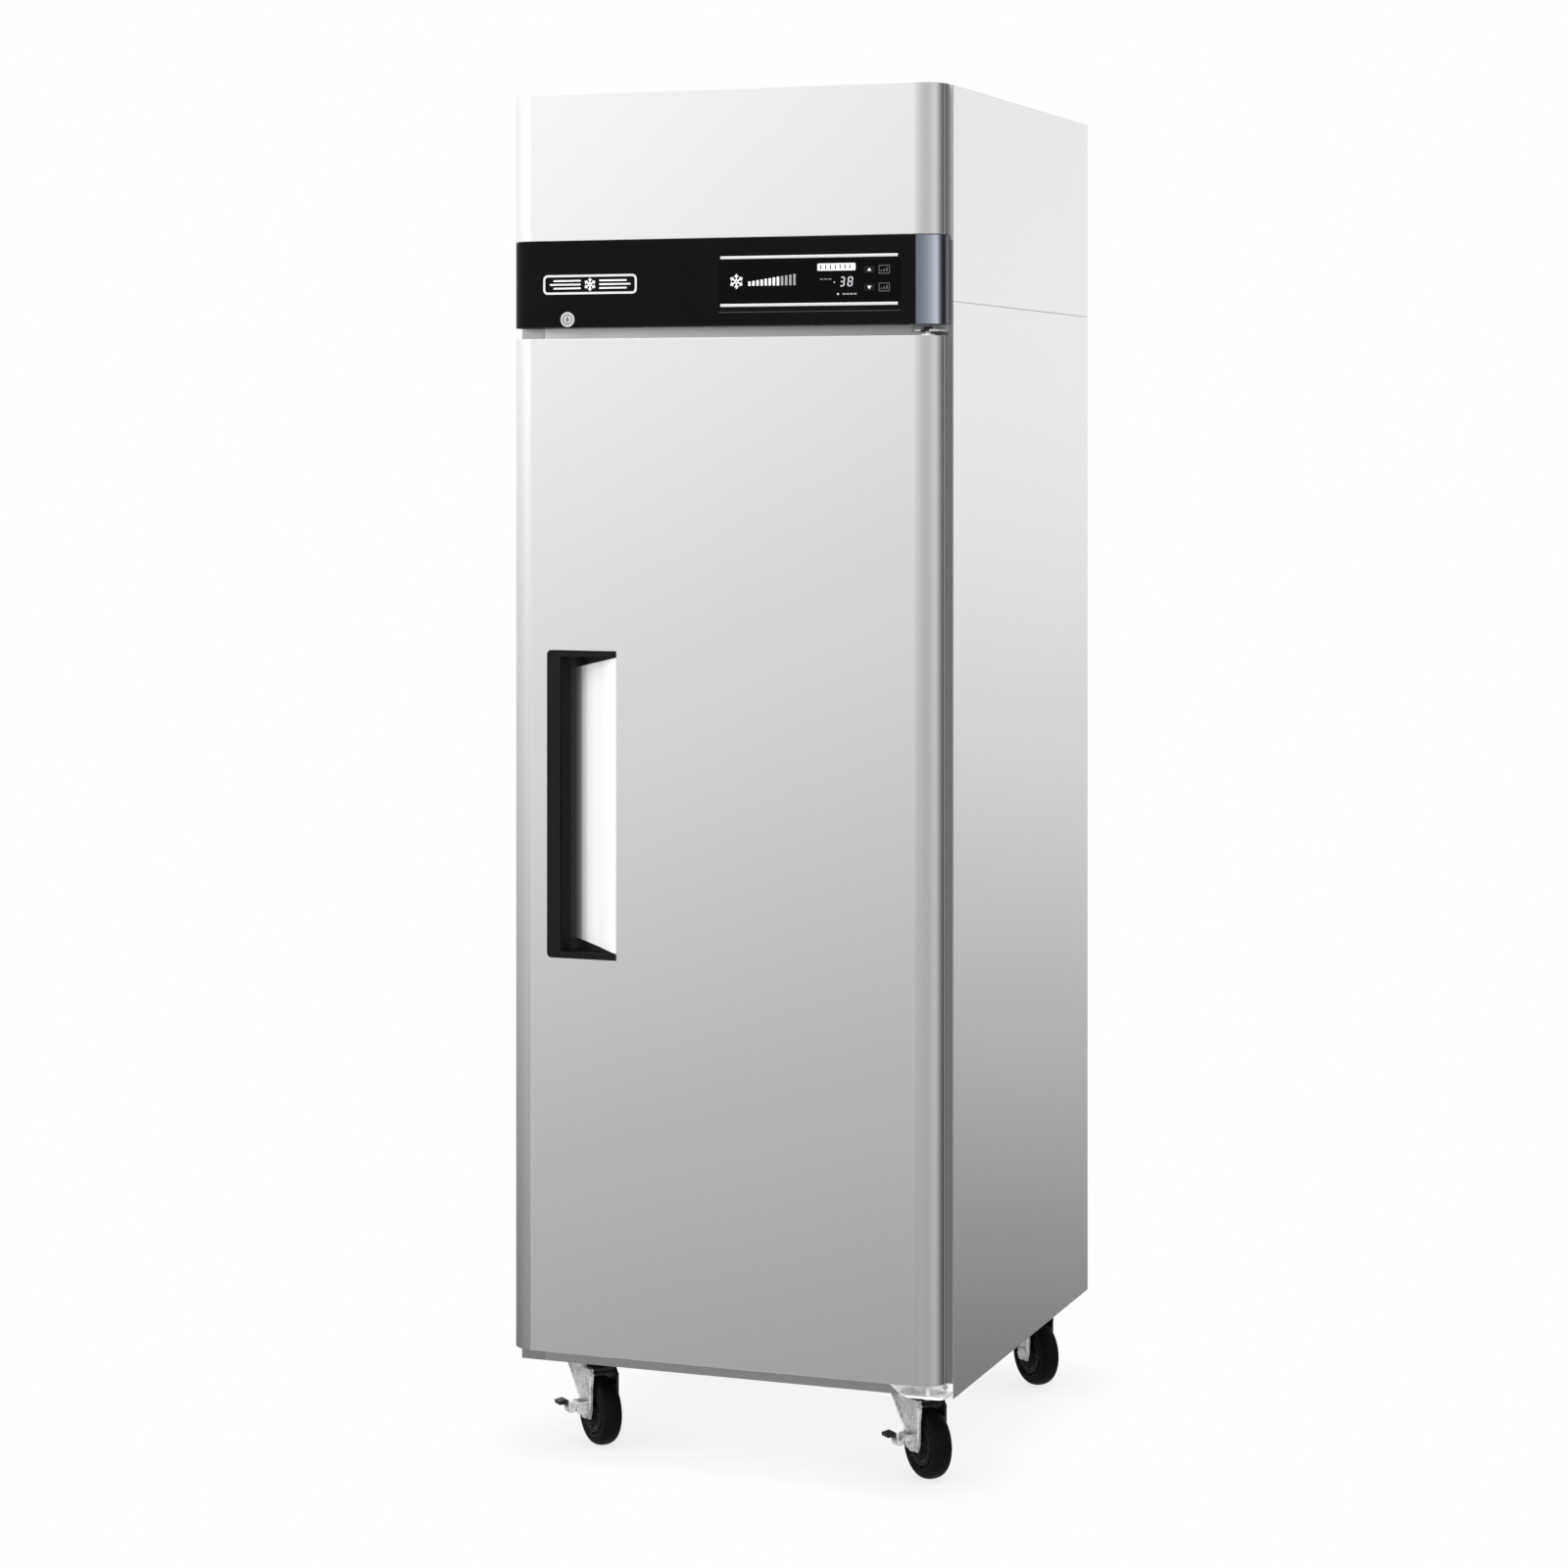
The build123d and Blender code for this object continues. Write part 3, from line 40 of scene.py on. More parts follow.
# =====================================================================
# node helpers
# =====================================================================
class Mat:
    """Small builder for one procedural material."""

    def __init__(self, name):
        self.m = bpy.data.materials.new(name)
        self.m.use_nodes = True
        self.t = self.m.node_tree
        self.t.nodes.clear()
        self.out = self.t.nodes.new("ShaderNodeOutputMaterial")
        self.b = self.t.nodes.new("ShaderNodeBsdfPrincipled")
        self.t.links.new(self.b.outputs[0], self.out.inputs[0])
        self.tc = self.t.nodes.new("ShaderNodeTexCoord")

    def n(self, kind, **kw):
        nd = self.t.nodes.new(kind)
        for k, v in kw.items():
            setattr(nd, k, v)
        return nd

    def link(self, a, b):
        self.t.links.new(a, b)

    def set(self, **kw):
        names = {"color": "Base Color", "metal": "Metallic", "rough": "Roughness", "spec": "Specular IOR Level",
                 "coat": "Coat Weight", "coat_rough": "Coat Roughness", "alpha": "Alpha", "trans": "Transmission Weight",
                 "emit": "Emission Color", "emit_s": "Emission Strength", "aniso": "Anisotropic", "sheen": "Sheen Weight",
                 "ior": "IOR", "sss": "Subsurface Weight"}
        for k, v in kw.items():
            inp = self.b.inputs[names[k]]
            if isinstance(v, (int, float)):
                inp.default_value = v
            elif isinstance(v, tuple):
                inp.default_value = (*v, 1.0) if len(v) == 3 else v
            else:
                self.link(v, inp)
        return self

    def map(self, sx, sy, sz, rot=(0, 0, 0)):
        mp = self.n("ShaderNodeMapping")
        mp.inputs["Scale"].default_value = (sx, sy, sz)
        mp.inputs["Rotation"].default_value = rot
        self.link(self.tc.outputs["Object"], mp.inputs["Vector"])
        return mp.outputs[0]

    def noise(self, vec, scale=1.0, detail=3.0, rough=0.55, dist=0.0):
        nz = self.n("ShaderNodeTexNoise")
        nz.inputs["Scale"].default_value = scale
        nz.inputs["Detail"].default_value = detail
        nz.inputs["Roughness"].default_value = rough
        nz.inputs["Distortion"].default_value = dist
        self.link(vec, nz.inputs["Vector"])
        return nz.outputs["Fac"] if "Fac" in nz.outputs else nz.outputs[0]

    def ramp(self, fac, stops, interp="LINEAR"):
        r = self.n("ShaderNodeValToRGB")
        r.color_ramp.interpolation = interp
        el = r.color_ramp.elements
        while len(el) < len(stops):
            el.new(0.5)
        for e, (p, c) in zip(el, stops):
            e.position = p
            e.color = (*c, 1.0) if len(c) == 3 else c
        self.link(fac, r.inputs[0])
        return r.outputs[0]

    def remap(self, fac, a, b, c, d):
        r = self.n("ShaderNodeMapRange")
        r.inputs["From Min"].default_value = a
        r.inputs["From Max"].default_value = b
        r.inputs["To Min"].default_value = c
        r.inputs["To Max"].default_value = d
        self.link(fac, r.inputs["Value"])
        return r.outputs[0]

    def math(self, op, a, b=None, c=None, clamp=False):
        m = self.n("ShaderNodeMath", operation=op)
        m.use_clamp = clamp
        for i, v in enumerate((a, b, c)):
            if v is None:
                continue
            if isinstance(v, (int, float)):
                m.inputs[i].default_value = v
            else:
                self.link(v, m.inputs[i])
        return m.outputs[0]

    def mix(self, fac, a, b, blend="MIX"):
        m = self.n("ShaderNodeMix", data_type="RGBA", blend_type=blend)
        for sock, v in ((m.inputs[0], fac), (m.inputs[6], a), (m.inputs[7], b)):
            if isinstance(v, (int, float)):
                sock.default_value = v
            elif isinstance(v, tuple):
                sock.default_value = (*v, 1.0) if len(v) == 3 else v
            else:
                self.link(v, sock)
        return m.outputs[2]

    def bump(self, height, strength=0.1, dist=0.001, normal=None):
        b = self.n("ShaderNodeBump")
        b.inputs["Strength"].default_value = strength
        b.inputs["Distance"].default_value = dist
        self.link(height, b.inputs["Height"])
        if normal is not None:
            self.link(normal, b.inputs["Normal"])
        self.link(b.outputs[0], self.b.inputs["Normal"])
        return b.outputs[0]

    def xyz(self):
        s = self.n("ShaderNodeSeparateXYZ")
        self.link(self.tc.outputs["Object"], s.inputs[0])
        return s.outputs

    def bevel(self, r=0.0006, samples=4):
        bv = self.n("ShaderNodeBevel")
        bv.samples = samples
        bv.inputs["Radius"].default_value = r
        return bv.outputs[0]


def steel(name, col=(0.80, 0.80, 0.795), rough=0.30, grain="z", amp=0.03, cloud=0.02, bump=0.05):
    """Satin stainless: fine grain running one way, faint broad clouding."""
    m = Mat(name)
    k = {"z": (420, 420, 5), "x": (5, 420, 420), "y": (420, 5, 420)}[grain]
    g = m.noise(m.map(*k), 1.0, 4.0, 0.6)
    k2 = {"z": (2600, 2600, 24), "x": (24, 2600, 2600), "y": (2600, 24, 2600)}[grain]
    g2 = m.noise(m.map(*k2), 1.0, 2.0, 0.5)
    c = m.noise(m.map(1, 1, 1), 2.6, 3.0, 0.5)
    g_all = m.math("ADD", m.math("MULTIPLY", g, 0.6), m.math("MULTIPLY", g2, 0.4))
    shade = m.remap(g_all, 0.3, 0.7, 1 - amp, 1 + amp)
    shade = m.math("MULTIPLY", shade, m.remap(c, 0.3, 0.7, 1 - cloud, 1 + cloud))
    col_n = m.n("ShaderNodeCombineColor")
    for i in range(3):
        m.link(m.math("MULTIPLY", shade, col[i]), col_n.inputs[i])
    r = m.math("ADD", m.remap(g_all, 0.3, 0.7, rough - 0.03, rough + 0.03), m.remap(c, 0.3, 0.7, -0.015, 0.015))
    m.set(color=col_n.outputs[0], metal=1.0, rough=r)
    m.bump(g_all, bump, 0.0002)
    return m.m


def plastic(name, col, rough=0.35, spec=0.5, grain=900, bump=0.06, coat=0.0, var=0.15):
    m = Mat(name)
    n1 = m.noise(m.map(1, 1, 1), grain, 2.0, 0.6)
    n2 = m.noise(m.map(1, 1, 1), 14.0, 3.0, 0.5)
    c0 = tuple(max(0.0, v * (1 - var)) for v in col)
    c1 = tuple(v * (1 + var) for v in col)
    m.set(color=m.ramp(n2, [(0.3, c0), (0.7, c1)]), rough=m.remap(n2, 0.3, 0.7, rough - 0.04, rough + 0.05), spec=spec, coat=coat)
    m.bump(n1, bump, 0.0002)
    return m.m


def galvanised(name, col=(0.60, 0.61, 0.62), rough=0.42):
    m = Mat(name)
    v = m.n("ShaderNodeTexVoronoi")
    v.inputs["Scale"].default_value = 95.0
    m.link(m.map(1, 1, 1), v.inputs["Vector"])
    sep = m.n("ShaderNodeSeparateColor")
    m.link(v.outputs["Color"], sep.inputs[0])
    n2 = m.noise(m.map(1, 1, 1), 5.0, 3.0, 0.5)
    f = m.math("ADD", m.math("MULTIPLY", sep.outputs[0], 0.5), m.math("MULTIPLY", n2, 0.5))
    m.set(color=m.ramp(f, [(0.2, tuple(c * 0.88 for c in col)), (0.8, tuple(min(1, c * 1.1) for c in col))]), metal=0.85,
          rough=m.remap(sep.outputs[1], 0, 1, rough - 0.07, rough + 0.08))
    m.bump(n2, 0.04, 0.0005)
    return m.m


def painted_crevice_shade(m, dist, low):
    """Painted shade: a factor that falls to low in tight corners."""
    ao = m.n("ShaderNodeAmbientOcclusion")
    ao.samples = 4
    ao.inputs["Distance"].default_value = dist
    return m.remap(ao.outputs["AO"], 0.15, 0.85, low, 1.0)


def zinc(name, col=(0.74, 0.75, 0.77), rough=0.27, metal=1.0, low=1.0, dist=0.03):
    m = Mat(name)
    n1 = m.noise(m.map(1, 1, 1), 60.0, 3.0, 0.5)
    n2 = m.noise(m.map(1, 1, 1), 700.0, 2.0, 0.6)
    base = m.ramp(n1, [(0.3, tuple(c * 0.94 for c in col)), (0.7, tuple(min(1, c * 1.04) for c in col))])
    # painted shade: with low below 1 the base colour darkens in tight corners
    if low < 1.0:
        f = painted_crevice_shade(m, dist, low)
        dark = m.n("ShaderNodeCombineColor")
        for i in range(3):
            m.link(f, dark.inputs[i])
        base = m.mix(1.0, base, dark.outputs[0], "MULTIPLY")
    m.set(color=base, metal=metal, rough=m.remap(n1, 0.3, 0.7, rough - 0.04, rough + 0.05))
    m.bump(n2, 0.02, 0.0002)
    return m.m


def rubber(name, col=(0.012, 0.012, 0.013), rough=0.55, spec=0.35):
    m = Mat(name)
    n1 = m.noise(m.map(1, 1, 1), 260.0, 4.0, 0.65)
    n2 = m.noise(m.map(1, 1, 1), 30.0, 3.0, 0.5)
    m.set(color=m.ramp(n2, [(0.3, col), (0.75, tuple(c * 1.9 + 0.002 for c in col))]), rough=m.remap(n1, 0.3, 0.7, rough - 0.08, rough + 0.1), spec=spec)
    m.bump(n1, 0.12, 0.0003)
    return m.m


def emissive(name, col, strength):
    m = Mat(name)
    n1 = m.noise(m.map(1, 1, 1), 800.0, 2.0, 0.5)
    m.set(color=tuple(c * 0.6 for c in col), rough=0.4, emit=m.ramp(n1, [(0.2, tuple(c * 0.85 for c in col)), (0.8, col)]), emit_s=strength)
    return m.m


M = {}
def outer_skin(name, tone=1.0, rough=0.27, gap_drop=0.5):
    """Satin skin of door, fascia and sides, with painted reflection and shade: the rolled left edge is painted
    greyer towards the floor, the return of the right edge is painted dark, and the faces in the gap behind the door
    are painted darker.
    """
    m = Mat(name)
    g = m.noise(m.map(520, 520, 4), 1.0, 4.0, 0.6)
    g2 = m.noise(m.map(3200, 3200, 20), 1.0, 2.0, 0.5)
    c = m.noise(m.map(1, 1, 1), 2.2, 3.0, 0.5)
    g_all = m.math("ADD", m.math("MULTIPLY", g, 0.5), m.math("MULTIPLY", g2, 0.5))
    shade = m.math("MULTIPLY", m.remap(g_all, 0.3, 0.7, 0.996, 1.004), m.remap(c, 0.3, 0.7, 0.995, 1.005))
    x, y, z = m.xyz()
    front_zone = m.math("LESS_THAN", y, -0.343)
    # painted reflection: the rolled left edge of the front darkens towards the floor
    left = m.math("MULTIPLY", m.math("LESS_THAN", x, -0.2946), front_zone)
    drop = m.remap(z, 0.15, 1.60, 0.545, 0.985)
    shade = m.math("MULTIPLY", shade, m.math("ADD", 1.0, m.math("MULTIPLY", left, m.math("SUBTRACT", drop, 1.0))))
    # painted shade: faces in the gap behind the door are darkened by gap_drop
    gap = m.math("MULTIPLY", m.math("MULTIPLY", m.math("GREATER_THAN", y, -0.3440), m.math("LESS_THAN", y, -0.3412)), m.math("LESS_THAN", m.math("ABSOLUTE", x), 0.3322))
    shade = m.math("MULTIPLY", shade, m.math("SUBTRACT", 1.0, m.math("MULTIPLY", gap, gap_drop)))
    if name == "stainless_frame":
        # painted shade: the upper frame rail is painted lighter at the left and darker towards the right
        upper = m.math("GREATER_THAN", z, 0.9)
        shade = m.math("MULTIPLY", shade, m.math("ADD", 1.0, m.math("MULTIPLY", upper, m.remap(x, -0.26, 0.26, 0.95, 0.12))))
    col_n = m.n("ShaderNodeCombineColor")
    for i, v in enumerate((0.83, 0.83, 0.825)):
        m.link(m.math("MULTIPLY", shade, v * tone), col_n.inputs[i])
    # painted reflection: the return of the right edge is painted dark and matt, darkest at the front
    ret = m.math("MULTIPLY", m.remap(x, 0.3286, 0.3293, 0.0, 1.0), front_zone)
    ret_c = m.ramp(m.remap(y, -0.3740, -0.3480, 0.0, 1.0), [(0.0, (0.075, 0.075, 0.082)), (0.30, (0.12, 0.12, 0.128)), (0.58, (0.205, 0.205, 0.212)), (1.0, (0.22, 0.22, 0.225))])
    # painted shade: the gap faces at the right are painted matt grey, lighter above the door
    gap_r = m.math("MULTIPLY", gap, m.math("GREATER_THAN", x, 0.30))
    gap_c = m.ramp(m.math("GREATER_THAN", z, 1.77), [(0.0, (0.15, 0.15, 0.155)), (1.0, (0.30, 0.30, 0.305))], "CONSTANT")
    matt = m.math("MAXIMUM", ret, gap_r)
    m.set(color=m.mix(gap_r, m.mix(ret, col_n.outputs[0], ret_c), gap_c), metal=m.math("SUBTRACT", 1.0, matt),
          rough=m.math("ADD", m.remap(g_all, 0.3, 0.7, rough - 0.006, rough + 0.006), m.math("MULTIPLY", ret, 0.35)), spec=m.math("MULTIPLY", m.math("SUBTRACT", 1.0, ret), 0.3))
    bv = m.bevel(0.0016, 4)
    m.link(bv, m.b.inputs["Normal"])
    return m.m


M["stainless_outer"] = outer_skin("stainless_outer")
M["stainless_liner"] = steel("stainless_liner", (0.80, 0.81, 0.81), 0.33, "z", 0.03, 0.02, 0.05)
M["galvanised_sheet"] = galvanised("galvanised_sheet")
m = Mat("pocket_steel")
g = m.noise(m.map(900, 900, 10), 1.0, 3.0, 0.6)
x, y, z = m.xyz()
# across the pocket the colour runs from a near-black inner wall at the deep end, through painted shadow and
# reflection of the grip bar, to the bright dish; the drafted end walls above and below are black plastic
bright = m.ramp(m.remap(x, -0.2430, -0.1600, 0.0, 1.0), [(0.0, (0.014, 0.014, 0.015)), (0.07, (0.022, 0.022, 0.023)), (0.15, (0.10, 0.10, 0.102)), (0.27, (0.66, 0.66, 0.66)), (0.36, (0.84, 0.84, 0.84)), (0.60, (0.845, 0.845, 0.845)), (1.0, (0.79, 0.79, 0.79))], "EASE")
deep = m.remap(x, -0.2400, -0.1600, 0.0185, 0.0005)
end = m.math("MAXIMUM", m.math("LESS_THAN", z, m.math("ADD", deep, 0.7400)), m.math("GREATER_THAN", z, m.math("SUBTRACT", 1.1710, deep)))
m.set(color=m.mix(end, bright, (0.006, 0.006, 0.0065)), metal=m.math("MULTIPLY", m.math("SUBTRACT", 1.0, end), 0.25), rough=m.remap(g, 0.3, 0.7, 0.38, 0.44), spec=0.3)
m.bump(g, 0.02, 0.0002)
M["pocket_steel"] = m.m
M["grey_plastic"] = plastic("grey_plastic", (0.42, 0.43, 0.44), 0.42, 0.4)
M["black_gloss"] = plastic("black_gloss", (0.0035, 0.0035, 0.0042), 0.32, 0.035, 1400, 0.012, 0.0, 0.12)
M["black_satin"] = plastic("black_satin", (0.0045, 0.0045, 0.005), 0.42, 0.16, 1800, 0.08)
M["smoked_window"] = plastic("smoked_window", (0.0012, 0.0012, 0.0015), 0.14, 0.05, 400, 0.0, 0.0, 0.1)
M["bright_trim"] = zinc("bright_trim", (0.86, 0.86, 0.87), 0.18)
M["gasket_grey"] = rubber("gasket_grey", (0.34, 0.345, 0.35), 0.5, 0.4)
M["zinc"] = zinc("zinc", (0.86, 0.87, 0.88), 0.32, 0.55, 0.25, 0.035)
M["steel_wire"] = plastic("steel_wire", (0.80, 0.81, 0.80), 0.3, 0.5, 500, 0.03, 0.3, 0.04)
M["black_steel"] = plastic("black_steel", (0.016, 0.016, 0.017), 0.3, 0.5, 260, 0.10)
M["fan_plastic"] = plastic("fan_plastic", (0.03, 0.03, 0.034), 0.45, 0.4)
M["caster_rubber"] = rubber("caster_rubber", (0.0014, 0.0014, 0.0016), 0.5, 0.07)
M["bearing_plastic"] = plastic("bearing_plastic", (0.80, 0.79, 0.74), 0.4, 0.4)
M["key_plastic"] = plastic("key_plastic", (0.005, 0.005, 0.006), 0.35, 0.15)
M["cord_black"] = rubber("cord_black", (0.012, 0.012, 0.012), 0.5)
M["screw_steel"] = zinc("screw_steel", (0.72, 0.73, 0.75), 0.25)

# silver cap: metallic paint with fine flake; the dark and light bands across its curve and the grey of its back face
# are painted reflection
m = Mat("silver_cap")
fl = m.noise(m.map(1, 1, 1), 2200.0, 2.0, 0.7)
x, y, z = m.xyz()
tone = m.ramp(m.remap(x, 0.2946, 0.3330, 0.0, 1.0), [(0.0, (0.14, 0.155, 0.20)), (0.23, (0.23, 0.26, 0.32)), (0.38, (0.33, 0.37, 0.44)), (0.55, (0.46, 0.50, 0.59)),
                                                       (0.65, (0.62, 0.66, 0.76)), (0.735, (0.68, 0.72, 0.82)), (0.81, (0.22, 0.24, 0.30)), (0.885, (0.018, 0.022, 0.034)), (0.95, (0.026, 0.030, 0.040)), (1.0, (0.042, 0.045, 0.056))])
back = m.remap(y, -0.3640, -0.3520, 0.0, 1.0)
tone = m.mix(m.math("MULTIPLY", back, m.math("GREATER_THAN", x, 0.3325)), tone, (0.22, 0.22, 0.235))
m.set(color=m.mix(1.0, tone, m.ramp(fl, [(0.3, (0.94, 0.94, 0.94)), (0.7, (1.06, 1.06, 1.06))]), "MULTIPLY"), metal=0.9, rough=0.3)
m.bump(fl, 0.03, 0.0001)
M["silver_cap"] = m.m

# copper tube with darker heat marks
m = Mat("copper")
n1 = m.noise(m.map(1, 1, 1), 45.0, 4.0, 0.6)
m.set(color=m.ramp(n1, [(0.25, (0.42, 0.19, 0.10)), (0.6, (0.78, 0.40, 0.24)), (0.8, (0.86, 0.50, 0.33))]), metal=1.0, rough=m.remap(n1, 0.3, 0.7, 0.22, 0.42))
m.bump(n1, 0.05, 0.0005)
M["copper"] = m.m

# aluminium fins: closely spaced plates drawn as a fine stripe along X; the dark part of each stripe is painted shade
# between the plates
m = Mat("aluminium_fins")
x, y, z = m.xyz()
st = m.math("SINE", m.math("MULTIPLY", x, 2600.0))
n1 = m.noise(m.map(1, 1, 1), 60.0, 3.0, 0.6)
f = m.math("MULTIPLY", m.remap(st, -1, 1, 0.0, 1.0), m.remap(n1, 0.3, 0.7, 0.8, 1.0))
m.set(color=m.ramp(f, [(0.0, (0.10, 0.10, 0.11)), (0.6, (0.62, 0.63, 0.64)), (1.0, (0.82, 0.83, 0.84))]), metal=0.95, rough=0.38)
m.bump(st, 0.6, 0.0006)
M["aluminium_fins"] = m.m

# rigid foam
m = Mat("foam")
v = m.n("ShaderNodeTexVoronoi")
v.inputs["Scale"].default_value = 420.0
m.link(m.map(1, 1, 1), v.inputs["Vector"])
n1 = m.noise(m.map(1, 1, 1), 9.0, 4.0, 0.6)
m.set(color=m.ramp(n1, [(0.3, (0.72, 0.60, 0.34)), (0.7, (0.84, 0.74, 0.47))]), rough=0.85, spec=0.2)
m.bump(v.outputs["Distance"], 0.4, 0.0015)
M["foam"] = m.m

# frosted lamp lens
m = Mat("lamp_lens")
n1 = m.noise(m.map(1, 1, 1), 300.0, 2.0, 0.6)
m.set(color=m.ramp(n1, [(0.3, (0.82, 0.84, 0.82)), (0.7, (0.93, 0.94, 0.92))]), rough=0.35, spec=0.5, sss=0.0, emit=(1.0, 0.97, 0.9), emit_s=0.9)
m.bump(n1, 0.2, 0.0004)
M["lamp_lens"] = m.m

# variants with painted shade for pieces that sit in a recess, and variants for pieces that need their own finish
# painted shade: the recessed frame rails get the outer skin at half brightness
frame_m = outer_skin("stainless_frame", 0.50, 0.38, 0.0)
# painted shade: the recessed base pan gets a darker copy of the galvanised sheet
pan_m = galvanised("galvanised_pan", (0.30, 0.305, 0.31), 0.45)
m = Mat("bracket_zinc")
x, y, z = m.xyz()
n1 = m.noise(m.map(1, 1, 1), 60.0, 3.0, 0.5)
up = m.math("GREATER_THAN", z, 0.9)
tone = m.ramp(n1, [(0.3, (0.90, 0.90, 0.90)), (0.7, (0.98, 0.98, 0.98))])
n2 = m.noise(m.map(1, 1, 1), 420.0, 2.0, 0.6)
dim = m.ramp(n2, [(0.35, (0.24, 0.24, 0.245)), (0.65, (0.42, 0.425, 0.43))])
near_pin = m.math("MULTIPLY", m.math("LESS_THAN", m.math("ABSOLUTE", m.math("SUBTRACT", x, 0.3055)), 0.0062), m.math("LESS_THAN", y, -0.366))
dim = m.mix(near_pin, dim, (0.004, 0.004, 0.005))
m.set(color=m.mix(up, tone, dim), metal=0.3, rough=0.3)
m.bump(n1, 0.01, 0.0002)
bracket_m = m.m

m = Mat("pin_zinc")
x, y, z = m.xyz()
up = m.math("GREATER_THAN", z, 1.64)
lowz = m.math("LESS_THAN", z, 1.9)
n1 = m.noise(m.map(1, 1, 1), 300.0, 2.0, 0.5)
m.set(color=m.mix(m.math("MULTIPLY", up, lowz), m.ramp(n1, [(0.3, (0.72, 0.73, 0.74)), (0.7, (0.84, 0.85, 0.86))]), (0.004, 0.004, 0.005)), metal=m.math("SUBTRACT", 0.6, m.math("MULTIPLY", m.math("MULTIPLY", up, lowz), 0.6)), rough=0.3, spec=0.2)
m.bump(n1, 0.02, 0.0002)
pin_m = m.m

m = Mat("trim_satin")
n1 = m.noise(m.map(900, 60, 900), 1.0, 2.0, 0.5)
x, y, z = m.xyz()
m.set(color=m.mix(m.remap(n1, 0.3, 0.7, 0.0, 1.0), (0.60, 0.605, 0.61), (0.70, 0.705, 0.71)), metal=0.6, rough=0.24)
m.bump(n1, 0.02, 0.0001)
trim_m = m.m


def lock_m(name, plug):
    """Ring-turned lock face: bright rim, darker face with a lighter middle ring and a black slot."""
    m = Mat(name)
    x, y, z = m.xyz()
    dx_ = m.math("SUBTRACT", x, -0.2356)
    dz_ = m.math("SUBTRACT", z, 1.6620)
    r = m.math("SQRT", m.math("ADD", m.math("MULTIPLY", dx_, dx_), m.math("MULTIPLY", dz_, dz_)))
    tone = m.ramp(m.remap(r, 0.0, 0.0110, 0.0, 1.0), [(0.0, (0.10, 0.10, 0.105)), (0.22, (0.34, 0.345, 0.35)), (0.40, (0.62, 0.625, 0.63)), (0.56, (0.40, 0.405, 0.41)), (0.66, (0.10, 0.10, 0.105)), (0.74, (0.50, 0.505, 0.51)), (0.86, (0.66, 0.665, 0.67)), (1.0, (0.36, 0.365, 0.37))])
    n_ = m.noise(m.map(1, 1, 1), 900.0, 2.0, 0.5)
    m.set(color=tone, metal=0.7, rough=m.remap(n_, 0.3, 0.7, 0.22, 0.30))
    m.bump(n_, 0.03, 0.0001)
    return m.m


lock_a = lock_m("lock_satin", False)


def caster_m(name, cx_, cy_, kind):
    """Zinc fork with painted shade: the crown and one leg are painted near black and tight corners darker; the lever
    has a black pedal end.
    """
    m = Mat(name)
    x, y, z = m.xyz()
    A_ = math.radians(47)
    ux = m.math("ADD", m.math("MULTIPLY", m.math("SUBTRACT", x, cx_), math.cos(A_)), m.math("MULTIPLY", m.math("SUBTRACT", y, cy_), math.sin(A_)))
    uy = m.math("ADD", m.math("MULTIPLY", m.math("SUBTRACT", x, cx_), -math.sin(A_)), m.math("MULTIPLY", m.math("SUBTRACT", y, cy_), math.cos(A_)))
    n1 = m.noise(m.map(1, 1, 1), 60.0, 3.0, 0.5)
    n2 = m.noise(m.map(1, 1, 1), 700.0, 2.0, 0.6)
    n3 = m.noise(m.map(1, 1, 1), 210.0, 3.0, 0.65)
    base = m.ramp(m.math("ADD", m.math("MULTIPLY", n1, 0.35), m.math("MULTIPLY", n3, 0.65)), [(0.36, (0.40, 0.405, 0.41)), (0.47, (0.68, 0.69, 0.70)), (0.62, (0.86, 0.87, 0.88))])
    if kind == "fork":
        # painted shade: the crown and one leg of the fork are painted near black
        black_pedal_and_painted_shade = m.math("MAXIMUM", m.math("GREATER_THAN", ux, 0.0145), m.math("MULTIPLY", m.math("GREATER_THAN", z, 0.0975), m.math("GREATER_THAN", ux, -0.0158)))
    else:
        # the pedal end of the lever is black
        black_pedal_and_painted_shade = m.remap(ux, -0.0570, -0.0545, 1.0, 0.0)
    # painted shade: tight corners are darker
    f = painted_crevice_shade(m, 0.02, 0.45)
    dk = m.n("ShaderNodeCombineColor")
    for i in range(3):
        m.link(f, dk.inputs[i])
    col_ = m.mix(1.0, base, dk.outputs[0], "MULTIPLY")
    m.set(color=m.mix(black_pedal_and_painted_shade, col_, (0.006, 0.006, 0.0065)), metal=m.math("MULTIPLY", m.math("SUBTRACT", 1.0, black_pedal_and_painted_shade), 0.5), rough=m.remap(n1, 0.3, 0.7, 0.28, 0.38), spec=0.35)
    m.bump(n2, 0.02, 0.0002)
    return m.m


VARIANT = {"front_frame": frame_m, "base_pan": pan_m, "hinge_brackets": bracket_m, "hinge_pins": pin_m, "display_trims": trim_m, "lock_housing": lock_a, "lock_plug": lock_a}
for tag, cx_, cy_ in (("front_left", -0.253, -0.274), ("front_right", 0.253, -0.274), ("rear_left", -0.253, 0.300), ("rear_right", 0.253, 0.300)):
    VARIANT[f"caster_fork_{tag}"] = caster_m(f"fork_zinc_{tag}", cx_, cy_, "fork")
    if tag.startswith("front"):
        VARIANT[f"brake_lever_{tag}"] = caster_m(f"lever_zinc_{tag}", cx_, cy_, "lever")

for name, ob in NODES.items():
    mat = VARIANT.get(name, M[SLOT[name]])
    ob.data.materials.clear()
    ob.data.materials.append(mat)
    for p in ob.data.polygons:
        p.material_index = 0

